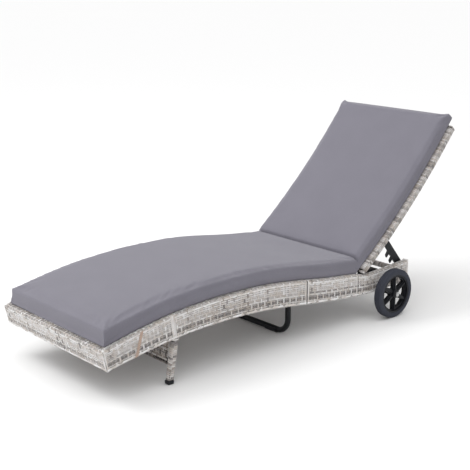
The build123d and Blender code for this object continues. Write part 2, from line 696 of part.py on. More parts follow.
tube_half = BACK_TUBE_DEPTH / 2 - GAP
TUBE_END = BACK_LENGTH - WEAVE
back_tube = back_band(0, TUBE_END, -tube_half, tube_half, TUBE_Y0 + GAP, TUBE_Y1 - GAP)
back_tube = back_tube + rod(HINGE_X, HINGE_HEIGHT, tube_half, TUBE_Y0 + GAP, TUBE_Y1 - GAP)
wall = TUBE_WALL
hollow_y0 = TUBE_Y0 + GAP + wall
hollow_y1 = TUBE_Y1 - GAP - wall
hollow = back_band(HINGE_PLUG, TUBE_END - wall, -tube_half + wall, tube_half - wall, hollow_y0, hollow_y1)
pivot_hole = rod(HINGE_X, HINGE_HEIGHT, HINGE_BOLT + RUNNING, hollow_y0, 0)
stay_pivot = back_point(STAY_PIVOT_AT, -STAY_PIVOT_BACK)
stay_bolt_hole = rod(stay_pivot.X, stay_pivot.Z, BOLT_RADIUS + BOLT_ROOM, TUBE_Y0 + BLIND - CLEAR, 0)
add_pair("back_side_tube", back_tube - hollow - pivot_hole - stay_bolt_hole)

sleeve = back_band(0, BACK_LENGTH, -BACK_HALF, BACK_HALF, Y_OUT, Y_IN)
sleeve = sleeve + rod(HINGE_X, HINGE_HEIGHT, BACK_HALF, Y_OUT, Y_IN)
room_half = BACK_TUBE_DEPTH / 2
sleeve_room = back_band(0, TUBE_END + GAP, -room_half, room_half, TUBE_Y0, TUBE_Y1)
sleeve_room = sleeve_room + rod(HINGE_X, HINGE_HEIGHT, room_half, TUBE_Y0, TUBE_Y1)
bolt_room = rod(HINGE_X, HINGE_HEIGHT, HINGE_BOLT + CLEAR, hollow_y0, 0)
add_pair("back_side_wrap", sleeve - sleeve_room - bolt_room - stay_bolt_hole)

top_wrap = back_band(BACK_LENGTH - TOP_WRAP, BACK_LENGTH, -BACK_HALF, BACK_HALF, -CROSS_HALF, CROSS_HALF)
top_room = back_band(BACK_LENGTH - TOP_WRAP + WEAVE, TUBE_END, -room_half, room_half, -HALF, HALF)
add("back_top_wrap", top_wrap - top_room)
top_start = BACK_LENGTH - TOP_WRAP + SKIN
top_tube = back_band(top_start, TUBE_END - GAP, -tube_half, tube_half, -CROSS_HALF, CROSS_HALF)
top_core = back_band(
    top_start + wall, TUBE_END - GAP - wall, -tube_half + wall, tube_half - wall, -HALF, HALF
)
add("back_top_tube", top_tube - top_core)

PANEL_FRONT = BACK_HALF - PANEL_SUNK
PANEL_BACK = PANEL_FRONT - DECK
cross_front = PANEL_BACK - GAP
cross_back = cross_front - BACK_CROSS_SIZE
bars = []
for start in BACK_CROSS:
    end = start + BACK_CROSS_SIZE
    bar = back_band(start, end, cross_back, cross_front, -CROSS_HALF, CROSS_HALF)
    core = back_band(start + wall, end - wall, cross_back + wall, cross_front - wall, -HALF, HALF)
    bars.append(bar - core)
add("back_cross_tubes", group(bars))
back_deck_end = BACK_LENGTH - TOP_WRAP - GAP
add("back_deck", back_band(BACK_DECK_START, back_deck_end, PANEL_BACK, PANEL_FRONT, -CROSS_HALF, CROSS_HALF))

# ---- hinge brackets and bolts ----
bracket_y1 = -INNER + GAP + BRACKET
bracket_y0 = -INNER + GAP
reach = HINGE_STRUT_X + HINGE_STRUT_WIDTH / 2 - 2 * CLEAR
bracket_low = BRACKET_BOLT_Z - BRACKET_EDGE
bracket = plate(
    [
        (HINGE_X - BRACKET_EYE, HINGE_HEIGHT),
        (HINGE_X - BRACKET_EYE / 2, bracket_low),
        (reach, bracket_low),
        (reach + BRACKET_EDGE, HINGE_HEIGHT - BRACKET_CLEAR - 2),
        (HINGE_X + BRACKET_EYE + 4, HINGE_HEIGHT - BRACKET_CLEAR),
    ],
    bracket_y0,
    bracket_y1,
)
bracket = bracket + rod(HINGE_X, HINGE_HEIGHT, BRACKET_EYE, bracket_y0, bracket_y1)
bracket = bracket - rod(HINGE_X, HINGE_HEIGHT, HINGE_BOLT + RUNNING, -HALF, 0)
for place in BRACKET_BOLTS:
    bracket = bracket - rod(place, BRACKET_BOLT_Z, BRACKET_BOLT_RADIUS + BOLT_ROOM, -HALF, 0)
add_both("hinge_brackets", bracket)
hinge_bolt = rod(HINGE_X, HINGE_HEIGHT, HINGE_BOLT, hollow_y0 + CLEAR, bracket_y1 + CLEAR)
hinge_head = hexagon(HINGE_X, HINGE_HEIGHT, HINGE_HEAD_RADIUS, bracket_y1 + SEAT_GAP, bracket_y1 + HINGE_HEAD)
hinge_bolt = hinge_bolt + hinge_head
add_both("hinge_bolts", hinge_bolt)
screws = []
for place in BRACKET_BOLTS:
    shank = rod(place, BRACKET_BOLT_Z, BRACKET_BOLT_RADIUS, TUBE_Y0 + BLIND, bracket_y1 + CLEAR)
    head = hexagon(place, BRACKET_BOLT_Z, BRACKET_HEAD_RADIUS, bracket_y1 + SEAT_GAP, bracket_y1 + BRACKET_HEAD)
    screws.append(shank + head)
add_both("bracket_bolts", group(screws))

# ---- stays ----
STAY_Y0 = -INNER + STAY_INSET
STAY_Y1 = STAY_Y0 + STAY_PLATE
stay_turn = math.radians(STAY_ANGLE)


def stay_point(along, out):
    """A point of the raised stay: along it from its pivot, and out to the side of its hooks."""
    x = stay_pivot.X + along * math.cos(stay_turn) + out * math.sin(stay_turn)
    z = stay_pivot.Z + along * math.sin(stay_turn) - out * math.cos(stay_turn)
    return (x, z)


first = LAST_NOTCH - 2 * NOTCH_PITCH
half_notch = NOTCH_WIDTH / 2
outline = [(0, -STAY_EYE), (20, -STAY_BODY), (STAY_LENGTH - 8, -STAY_BODY), (STAY_LENGTH, -STAY_BODY + 8)]
outline += [(STAY_LENGTH, HOOK_REACH - 2), (STAY_LENGTH - 5, HOOK_REACH)]
outline += [(LAST_NOTCH + half_notch + 2, HOOK_REACH)]
outline += [(LAST_NOTCH + half_notch, NOTCH_FLOOR), (LAST_NOTCH - half_notch, NOTCH_FLOOR)]
for notch in (first + NOTCH_PITCH, first):
    outline += [(notch + half_notch, NOTCH_FLOOR), (notch - half_notch, NOTCH_FLOOR)]
    outline += [(notch - half_notch + 2, HOOK_REACH - 3), (notch - half_notch - 2, HOOK_REACH)]
    outline += [(notch - HOOK_WIDTH, HOOK_REACH - 4), (notch - HOOK_WIDTH - 5, 16.0)]
outline += [(0, STAY_EYE)]
stay = plate([stay_point(along, out) for along, out in outline], STAY_Y0, STAY_Y1)
stay = stay + rod(stay_pivot.X, stay_pivot.Z, STAY_EYE, STAY_Y0, STAY_Y1)
stay = stay - rod(stay_pivot.X, stay_pivot.Z, BOLT_RADIUS + RUNNING, STAY_Y0 - CLEAR, STAY_Y1 + CLEAR)
add_pair("stay", stay)
stay_bolt = rod(stay_pivot.X, stay_pivot.Z, BOLT_RADIUS, TUBE_Y0 + BLIND, STAY_Y1 + CLEAR)
stay_bolt = stay_bolt + hexagon(stay_pivot.X, stay_pivot.Z, HEAD_RADIUS, STAY_Y1 + GAP, STAY_Y1 + HEAD_HEIGHT)
add_both("stay_bolts", stay_bolt)
pin_x, pin_z = stay_point(LAST_NOTCH, NOTCH_FLOOR + PIN_RADIUS + GAP)
pin = rod(pin_x, pin_z, PIN_RADIUS, -INNER + GAP, STAY_Y1 + PIN_PAST)
pin = pin + rod(pin_x, pin_z, PIN_RADIUS + PIN_COLLAR, -INNER + GAP, -INNER + GAP + PIN_COLLAR)
add_both("catch_pins", pin)


# ---- cushions and their straps ----
CUSHION_END = back_point(CUSHION_START, BACK_HALF + BACK_CUSHION).X - CUSHION_CREASE
half = HALF - CUSHION_INSET
cushion_top = beside(TOP, -SEAT_CUSHION - CUSHION_LIFT, CUSHION_FOOT, CUSHION_END)
cushion_bottom = beside(TOP, -CUSHION_LIFT, CUSHION_FOOT, CUSHION_END)
add("seat_cushion", between(cushion_top, cushion_bottom, -half, half))
back_cushion = back_band(
    CUSHION_START,
    BACK_LENGTH + CUSHION_OVERHANG,
    BACK_HALF + GAP,
    BACK_HALF + GAP + BACK_CUSHION,
    -half,
    half,
)
add("back_cushion", back_cushion)


def strap(x):
    """A flat loop of webbing round the rail, square to it."""
    top = at_x(TOP, x)
    low = at_x(BOTTOM, x)
    along = TOP % share_at(TOP, x)
    slope = math.degrees(math.atan2(along.Z, along.X))
    depth = (top.Z - low.Z) * math.cos(math.radians(slope)) + STRAP_SLACK
    grow = GAP + STRAP_THICK
    ring = block(-STRAP_WIDTH / 2, STRAP_WIDTH / 2, Y_OUT - grow, Y_IN + grow, -depth - grow, grow)
    ring = ring - block(-STRAP_WIDTH, STRAP_WIDTH, Y_OUT - GAP, Y_IN + GAP, -depth - GAP, GAP)
    return Location((top.X, 0, top.Z), (0, -slope, 0)) * ring


add_pair("cushion_strap", strap(STRAP_AT))

# ---- origin on the ground under the middle, then one file for each node ----
low = min(shape.bounding_box().min.X for shape in PARTS.values())
high = max(shape.bounding_box().max.X for shape in PARTS.values())
shift = -(low + high) / 2
os.makedirs("parts", exist_ok=True)
for name, shape in PARTS.items():
    export_step(shape.moved(Location((shift, 0, 0))), "parts/" + name + ".step")

print("nodes", len(PARTS), "length", round(high - low, 1), "shift", round(shift, 3))
print("hinge", round(HINGE_X + shift, 3), HINGE_HEIGHT)
print("stay pivot", round(stay_pivot.X + shift, 3), round(stay_pivot.Z, 3))
print("axle", round(AXLE_X + shift, 3), AXLE_Z)
print("front foot", round(cap_x + shift, 3), "glide", round(LEG_X + shift, 3), GLIDE_AT)
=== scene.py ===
"""Looks of the woven sun lounger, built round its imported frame. Everything is in metres."""

import json
import math

import bmesh
import bpy
import numpy as np
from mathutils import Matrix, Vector
from mathutils.bvhtree import BVHTree


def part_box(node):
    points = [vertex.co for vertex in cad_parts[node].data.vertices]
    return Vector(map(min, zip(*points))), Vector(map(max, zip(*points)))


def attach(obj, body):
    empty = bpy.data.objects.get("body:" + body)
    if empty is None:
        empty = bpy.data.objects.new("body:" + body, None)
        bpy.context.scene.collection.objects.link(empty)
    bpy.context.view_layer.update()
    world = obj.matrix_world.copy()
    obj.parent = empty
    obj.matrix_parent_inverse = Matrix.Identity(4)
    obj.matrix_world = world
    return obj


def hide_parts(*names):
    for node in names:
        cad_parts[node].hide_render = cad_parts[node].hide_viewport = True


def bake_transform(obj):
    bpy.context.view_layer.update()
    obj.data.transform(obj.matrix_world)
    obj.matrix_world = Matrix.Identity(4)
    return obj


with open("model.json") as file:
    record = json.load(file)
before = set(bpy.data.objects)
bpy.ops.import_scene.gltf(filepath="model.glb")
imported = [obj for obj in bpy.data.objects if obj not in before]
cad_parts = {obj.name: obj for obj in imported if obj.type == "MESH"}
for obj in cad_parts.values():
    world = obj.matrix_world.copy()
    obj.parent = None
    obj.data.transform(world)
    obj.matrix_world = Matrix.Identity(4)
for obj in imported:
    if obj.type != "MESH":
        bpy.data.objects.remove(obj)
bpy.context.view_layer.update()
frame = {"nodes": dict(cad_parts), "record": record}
NODES = frame["nodes"]
X = Vector((1, 0, 0))
Y = Vector((0, 1, 0))
Z = Vector((0, 0, 1))

# ---- sizes of the weave ----
SKIN = 0.003               # thickness of the woven skin
STRAND = 0.0061            # width of a strand along the rails
ROW = 0.0070               # from one row of strands to the next
STAKE_STEP = 0.0160        # from one upright strand to the next
STAKE = 0.0070
THIN = 0.0012              # thickness of a strand
LIFT = 0.0009              # how far a strand rises and falls in the weave
PAIR = 2                   # rows that go over and under together
SLEEVE = 0.026             # width of the skin round one rail tube
CORNER = 0.005
MITRE = 0.009              # least width of a rail's skin where two skirts meet
SEAM = 0.0016              # set-back of the skin at the joint between the halves
FLUTES = 9000.0            # fine lines across a strand, radians a metre
STREAKS_ALONG = 38.0       # streaks of tone, to the metre
STREAKS_ACROSS = 900.0
WRAP_STEP = 0.0070         # pitch of the wound sleeves
DECK_ROW = 0.0150
DECK_STRAND = 0.0136
DECK_STAKE_STEP = 0.030
DECK_STAKE = 0.0150
DECK_REACH = 0.011         # how far the deck laps under the foot skirt
EDGING = 0.0072            # width of the strand along an edge
EDGING_STEP = 0.034        # length of its stitches
LEG_OVERRUN = 0.012        # how far a leg's winding runs up into the rail
BACK_OVERRUN = 0.004       # how far a back tube's winding runs past the last whole section
STATIONS = 60
HAIR = 0.0002              # tolerance when picking vertices
REACH = 0.5                # how far off a ray starts

# ---- sizes of the mattress ----
PAD_INSET = 0.003
PAD_SINK = 0.0032          # how far the mattress settles onto the rails
PAD_VOXEL = 0.006
PAD_CAP = 0.007
PAD_PRESSURE = 4.0
PAD_FRAMES = 20
PAD_HELD = 0.004           # cloth this near the underside stays where it is
PAD_END = 0.004            # set-back of the mattress's ends
WEBBING = 0.012            # width of a strap
WEBBING_THICKNESS = 0.0012
STRAP_LEAN = 0.040         # how much further back a strap's top lies than its bottom
CREASE_DEPTH = 0.016
CREASE_WIDTH = 0.0055
CREASE_NEAR = 0.022        # finer faces this near the crease
CREASE_FADE = 0.03         # depth at which the crease has died away

# ---- sizes of the tyres ----
TYRE_DEPTH = 0.0219        # tread to the inside of the tyre
GROOVE_STEP = 0.0085
GROOVE_DEPTH = 0.0022

SKY_WAY = (-0.25, 0.05, 0.97)  # towards the brightest part of the room


# ---- making objects ----
def put(name, mesh):
    """A mesh as an object in the scene."""
    made = bpy.data.objects.new(name, mesh)
    bpy.context.scene.collection.objects.link(made)
    return made


def moulded(name, shape, smooth=False):
    """A bmesh as an object, its faces outwards."""
    bmesh.ops.recalc_face_normals(shape, faces=shape.faces)
    mesh = bpy.data.meshes.new(name)
    shape.to_mesh(mesh)
    shape.free()
    if smooth:
        mesh.polygons.foreach_set("use_smooth", [True] * len(mesh.polygons))
    return put(name, mesh)


# ---- wiring of node trees ----
class Graph:
    """Adds nodes to a tree. A value for an input is a socket to link or a constant."""

    def __init__(self, tree):
        self.tree = tree

    def feed(self, socket, value):
        """Link a socket or set its constant."""
        if isinstance(value, bpy.types.NodeSocket):
            self.tree.links.new(value, socket)
        else:
            socket.default_value = value

    def add(self, kind, inputs=None, **settings):
        """Add one node and feed its inputs."""
        made = self.tree.nodes.new(kind)
        for key, value in settings.items():
            setattr(made, key, value)
        for key, value in (inputs or {}).items():
            self.feed(made.inputs[key], value)
        return made

    def math(self, operation, *values):
        """One sum; gives its result."""
        return self.add("ShaderNodeMath", dict(enumerate(values)), operation=operation).outputs[0]

    def vector(self, x=0.0, y=0.0, z=0.0):
        """Three numbers as a vector."""
        return self.add("ShaderNodeCombineXYZ", {"X": x, "Y": y, "Z": z}).outputs[0]


def inlet(tree, name):
    """The identifier of a tree's input."""
    for item in tree.interface.items_tree:
        if item.item_type == "SOCKET" and item.in_out == "INPUT" and item.name == name:
            return item.identifier
    raise KeyError(name)


# ---- shader groups ----
def shader_group(name, inputs, outputs):
    """An empty shader group with its sockets; gives the graph, its inputs and its output node."""
    tree = bpy.data.node_groups.new(name, "ShaderNodeTree")
    for title, kind, value in inputs:
        socket = tree.interface.new_socket(title, in_out="INPUT", socket_type=kind)
        socket.default_value = value
    for title, kind in outputs:
        tree.interface.new_socket(title, in_out="OUTPUT", socket_type=kind)
    graph = Graph(tree)
    return graph, graph.add("NodeGroupInput").outputs, graph.add("NodeGroupOutput")


def speckle_group():
    """Fine grain and larger patches: a height for bump and a mask from 0 to 1."""
    sockets = [("Place", "NodeSocketVector", (0, 0, 0)), ("Grain", "NodeSocketFloat", 900.0)]
    sockets += [("Patches", "NodeSocketFloat", 30.0)]
    results = [("Height", "NodeSocketFloat"), ("Mask", "NodeSocketFloat")]
    graph, given, out = shader_group("grain_and_patches", sockets, results)
    fine = {"Vector": given["Place"], "Scale": given["Grain"], "Detail": 3.0}
    grain = graph.add("ShaderNodeTexNoise", fine)
    broad = {"Vector": given["Place"], "Scale": given["Patches"], "Detail": 4.0}
    patches = graph.add("ShaderNodeTexNoise", broad)
    limits = {"Value": patches.outputs["Fac"], "From Min": 0.38, "From Max": 0.66}
    mask = graph.add("ShaderNodeMapRange", limits)
    graph.feed(out.inputs["Height"], grain.outputs["Fac"])
    graph.feed(out.inputs["Mask"], mask.outputs["Result"])
    return graph.tree


def thread_group():
    """A plain weave of two sets of threads: height and how deep the gaps between the threads are."""
    sockets = [("Along", "NodeSocketFloat", 0.0), ("Across", "NodeSocketFloat", 0.0)]
    sockets += [("Pitch", "NodeSocketFloat", 0.001)]
    results = [("Height", "NodeSocketFloat"), ("Gaps", "NodeSocketFloat")]
    graph, given, out = shader_group("plain_weave", sockets, results)
    turns = []
    for name in ("Along", "Across"):
        turn = graph.math("DIVIDE", given[name], given["Pitch"])
        turns.append(graph.math("MULTIPLY", turn, math.pi))
    warp = graph.math("ABSOLUTE", graph.math("SINE", turns[0]))
    weft = graph.math("ABSOLUTE", graph.math("SINE", turns[1]))
    crossing = graph.math("MULTIPLY", graph.math("SINE", turns[0]), graph.math("SINE", turns[1]))
    which = graph.math("GREATER_THAN", crossing, 0.0)
    over = graph.math("MULTIPLY", which, graph.math("SUBTRACT", warp, weft))
    height = graph.math("ADD", over, weft)
    graph.feed(out.inputs["Height"], height)
    graph.feed(out.inputs["Gaps"], graph.math("SUBTRACT", 1.0, height))
    return graph.tree


GROUPS = {"speckle": speckle_group(), "threads": thread_group()}


# ---- materials ----
def material(name):
    """A new material: its graph and its shader."""
    made = bpy.data.materials.new(name)
    made.use_nodes = True
    graph = Graph(made.node_tree)
    return made, graph, made.node_tree.nodes["Principled BSDF"]


def group(graph, which, inputs):
    """Place a shared group."""
    made = graph.add("ShaderNodeGroup", node_tree=GROUPS[which])
    for key, value in inputs.items():
        graph.feed(made.inputs[key], value)
    return made.outputs


def mix(graph, factor, first, second):
    """Blend two colours."""
    made = graph.add("ShaderNodeMix", data_type="RGBA")
    graph.feed(made.inputs[0], factor)
    graph.feed(made.inputs[6], first)
    graph.feed(made.inputs[7], second)
    return made.outputs[2]


def ramp(graph, factor, stops):
    """A colour for each value."""
    made = graph.add("ShaderNodeValToRGB", {"Fac": factor})
    elements = made.color_ramp.elements
    while len(elements) < len(stops):
        elements.new(0.5)
    for element, (place, colour) in zip(elements, stops):
        element.position = place
        element.color = (*colour, 1)
    return made.outputs["Color"]


def bump(graph, shader, height, distance, strength=1.0):
    """Feed a height to the shader's normal."""
    made = graph.add("ShaderNodeBump", {"Height": height, "Distance": distance, "Strength": strength})
    graph.feed(shader.inputs["Normal"], made.outputs["Normal"])


def rattan_material():
    """Flat resin strands streaked white, grey and beige, with fine flutes along them."""
    made, graph, shader = material("resin_rattan")
    place = graph.add("ShaderNodeAttribute", attribute_name="strand_place").outputs["Vector"]
    tone = graph.add("ShaderNodeAttribute", attribute_name="tone").outputs["Fac"]
    parts = graph.add("ShaderNodeSeparateXYZ", {0: place}).outputs
    along = graph.math("MULTIPLY", parts["X"], STREAKS_ALONG)
    across = graph.math("MULTIPLY", parts["Y"], STREAKS_ACROSS)
    noise = {"Vector": graph.vector(along, across, parts["Z"]), "Scale": 1.0, "Detail": 3.0, "Roughness": 0.6}
    streaks = graph.add("ShaderNodeTexNoise", noise)
    streaked = graph.math("MULTIPLY", streaks.outputs["Fac"], 0.75)
    shade = graph.math("ADD", streaked, graph.math("MULTIPLY", tone, 0.42))
    stops = [
        (0.00, (0.024, 0.020, 0.019)),
        (0.24, (0.200, 0.185, 0.180)),
        (0.40, (0.520, 0.490, 0.478)),
        (0.56, (0.740, 0.712, 0.700)),
        (0.72, (0.830, 0.810, 0.805)),
        (0.88, (0.930, 0.925, 0.925)),
    ]
    colour = ramp(graph, shade, stops)
    warm = graph.add("ShaderNodeTexNoise", {"Vector": place, "Scale": 14.0, "Detail": 2.0})
    limits = {"Value": warm.outputs["Fac"], "From Min": 0.45, "From Max": 0.62, "To Max": 0.6}
    beige = graph.add("ShaderNodeMapRange", limits)
    graph.feed(shader.inputs["Base Color"], mix(graph, beige.outputs[0], colour, (0.56, 0.48, 0.41, 1)))
    flutes = graph.math("SINE", graph.math("MULTIPLY", parts["Y"], FLUTES))
    grain = group(graph, "speckle", {"Place": place, "Grain": 700.0})
    bump(graph, shader, graph.math("ADD", flutes, grain["Height"]), 0.00012)
    graph.feed(shader.inputs["Roughness"], 0.48)
    return made


def canvas_material():
    """Grey outdoor canvas."""
    made, graph, shader = material("cushion_canvas")
    place = graph.add("ShaderNodeAttribute", attribute_name="cloth").outputs["Vector"]
    parts = graph.add("ShaderNodeSeparateXYZ", {0: place}).outputs
    along = graph.math("ADD", parts["X"], parts["Z"])
    across = graph.math("ADD", parts["Y"], parts["Z"])
    weave = group(graph, "threads", {"Along": along, "Across": across, "Pitch": 0.0011})
    grain = group(graph, "speckle", {"Place": place, "Grain": 1500.0, "Patches": 9.0})
    base = mix(graph, grain["Mask"], (0.180, 0.173, 0.209, 1), (0.189, 0.182, 0.219, 1))
    gaps = graph.math("MULTIPLY", weave["Gaps"], 0.35)
    graph.feed(shader.inputs["Base Color"], mix(graph, gaps, base, (0.105, 0.101, 0.124, 1)))
    bump(graph, shader, graph.math("ADD", weave["Height"], grain["Height"]), 0.00022, 0.7)
    graph.feed(shader.inputs["Roughness"], 0.88)
    shader.inputs["Sheen Weight"].default_value = 0.25
    shader.inputs["Sheen Roughness"].default_value = 0.5
    return made


def webbing_material():
    """Tan flat webbing."""
    made, graph, shader = material("tan_webbing")
    place = graph.add("ShaderNodeTexCoord").outputs["Object"]
    parts = graph.add("ShaderNodeSeparateXYZ", {0: place}).outputs
    along = graph.math("ADD", parts["Z"], parts["Y"])
    weave = group(graph, "threads", {"Along": along, "Across": parts["X"], "Pitch": 0.0012})
    tan = mix(graph, weave["Gaps"], (0.62, 0.47, 0.385, 1), (0.33, 0.23, 0.18, 1))
    graph.feed(shader.inputs["Base Color"], tan)
    bump(graph, shader, weave["Height"], 0.0003)
    graph.feed(shader.inputs["Roughness"], 0.8)
    return made


def coated(name, dark, light, roughness, grain, depth, metallic=0.0, shine=0.5):
    """A finish with fine grain and slightly uneven tone."""
    made, graph, shader = material(name)
    place = graph.add("ShaderNodeTexCoord").outputs["Object"]
    marks = group(graph, "speckle", {"Place": place, "Grain": grain, "Patches": 45.0})
    graph.feed(shader.inputs["Base Color"], mix(graph, marks["Mask"], (*dark, 1), (*light, 1)))
    rough = graph.math("ADD", graph.math("MULTIPLY", marks["Mask"], 0.10), roughness)
    graph.feed(shader.inputs["Roughness"], rough)
    shader.inputs["Metallic"].default_value = metallic
    shader.inputs["Specular IOR Level"].default_value = shine
    bump(graph, shader, marks["Height"], depth)
    return made


FINISHES = {
    "rattan": rattan_material(),
    "cushion_fabric": canvas_material(),
    "strap": webbing_material(),
    "black_metal": coated(
        "black_powder_coat", (0.005, 0.006, 0.008), (0.009, 0.010, 0.013), 0.40, 1800.0, 0.00010, shine=0.25
    ),
    "tube_metal": coated(
        "brown_powder_coat", (0.030, 0.025, 0.022), (0.045, 0.038, 0.034), 0.42, 1800.0, 0.00010, shine=0.3
    ),
    "black_plastic": coated(
        "moulded_plastic", (0.007, 0.008, 0.011), (0.012, 0.013, 0.017), 0.42, 1200.0, 0.00006, shine=0.3
    ),
    "tyre": coated(
        "tyre_compound", (0.028, 0.031, 0.044), (0.038, 0.042, 0.058), 0.62, 900.0, 0.00015, shine=0.3
    ),
    "steel": coated("zinc_plate", (0.42, 0.42, 0.43), (0.55, 0.55, 0.54), 0.30, 600.0, 0.00004, 1.0),
}


def finish_nodes():
    """Give every CAD node the finish of its slot in the record."""
    for part in frame["record"]["subparts"]:
        node = NODES[part["node"]]
        node.data.materials.clear()
        node.data.materials.append(FINISHES[part["material_slot"]])


# ---- reading shapes off the CAD nodes ----
def surface(node):
    """A ray-casting tree of a CAD node."""
    mesh = NODES[node].data
    points = [vertex.co for vertex in mesh.vertices]
    return BVHTree.FromPolygons(points, [face.vertices for face in mesh.polygons])


def outline(node, start, end, away, count=STATIONS):
    """Points of a node's surface along the line from start to end, seen from the side away."""
    tree = surface(node)
    found = []
    for step in range(count):
        place = start.lerp(end, step / (count - 1))
        hit = tree.ray_cast(place + away * REACH, -away)[0]
        if hit is not None:
            found.append(hit)
    return found


def faces_between(node, start, end, away, count):
    """Points of a node's two opposite faces along a line, where both are there."""
    tree = surface(node)
    pairs = []
    for step in range(count):
        place = start.lerp(end, step / (count - 1))
        front = tree.ray_cast(place + away * REACH, -away)[0]
        back = tree.ray_cast(place - away * REACH, away)[0]
        if front is not None and back is not None and (front - back).length > SKIN:
            pairs.append((front, back))
    return [front for front, back in pairs], [back for front, back in pairs]


def corner(node, towards, y=None):
    """A node's furthest vertex in a direction, on one side face when y is given."""
    points = [vertex.co for vertex in NODES[node].data.vertices]
    if y is not None:
        points = [point for point in points if abs(point.y - y) < HAIR]
    return max(points, key=lambda point: point.dot(towards)).copy()


def centre(node):
    """The middle of a node's box."""
    low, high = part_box(node)
    return (low + high) / 2


# ---- guide sheets that the strands follow ----
def rounded(corners, radius, closed=False, steps=4):
    """A polyline with its corners rounded, as points in a plane."""
    count = len(corners)
    points = []
    for index, here in enumerate(corners):
        if not closed and index in (0, count - 1):
            points.append(here)
            continue
        before = corners[index - 1] - here
        after = corners[(index + 1) % count] - here
        cut = min(radius, before.length * 0.45, after.length * 0.45)
        first = here + before.normalized() * cut
        last = here + after.normalized() * cut
        for step in range(steps + 1):
            share = step / steps
            points.append(first * (1 - share) ** 2 + here * 2 * share * (1 - share) + last * share**2)
    if closed:
        points.append(points[0])
    return points


def lengths(points):
    """Distance along a row of points."""
    total = [0.0]
    for a, b in zip(points, points[1:]):
        total.append(total[-1] + (b - a).length)
    return total


def guide_sheet(rings):
    """A sheet through rings of points, with a UV map; gives its object, length and height."""
    middle = len(rings[0]) // 2
    along = lengths([ring[middle] for ring in rings])
    heights = lengths(rings[len(rings) // 2])
    mesh = bpy.data.meshes.new("guide")
    count = len(rings[0])
    points = [point for ring in rings for point in ring]
    faces = []
    for i in range(len(rings) - 1):
        for j in range(count - 1):
            here = i * count + j
            faces.append((here, here + count, here + count + 1, here + 1))
    mesh.from_pydata(points, [], faces)
    mesh.polygons.foreach_set("use_smooth", [True] * len(faces))
    places = mesh.uv_layers.new(name="UVMap").data
    for loop in mesh.loops:
        i, j = divmod(loop.vertex_index, count)
        places[loop.index].uv = (along[i] / along[-1], heights[j] / heights[-1])
    return put("guide", mesh), along[-1], heights[-1]


# ---- the strand tree ----
STRAND_INPUTS = [
    ("Length", "NodeSocketFloat", 1.0),
    ("Height", "NodeSocketFloat", 0.1),
    ("Rows", "NodeSocketInt", 0),
    ("First Row", "NodeSocketFloat", ROW / 2),
    ("Row Step", "NodeSocketFloat", ROW),
    ("Row Width", "NodeSocketFloat", STRAND),
    ("Row Points", "NodeSocketInt", 50),
    ("Stakes", "NodeSocketInt", 0),
    ("First Stake", "NodeSocketFloat", STAKE_STEP / 2),
    ("Stake Step", "NodeSocketFloat", STAKE_STEP),
    ("Stake Width", "NodeSocketFloat", STAKE),
    ("Stake Points", "NodeSocketInt", 50),
    ("Slant", "NodeSocketFloat", 0.0),
    ("Pair", "NodeSocketInt", PAIR),
    ("Thickness", "NodeSocketFloat", THIN),
    ("Lift", "NodeSocketFloat", LIFT),
    ("Raise", "NodeSocketFloat", 0.0),
    ("Tone", "NodeSocketFloat", -0.07),
    ("Contrast", "NodeSocketFloat", 1.7),
    ("Seed", "NodeSocketInt", 1),
    ("Material", "NodeSocketMaterial", None),
]


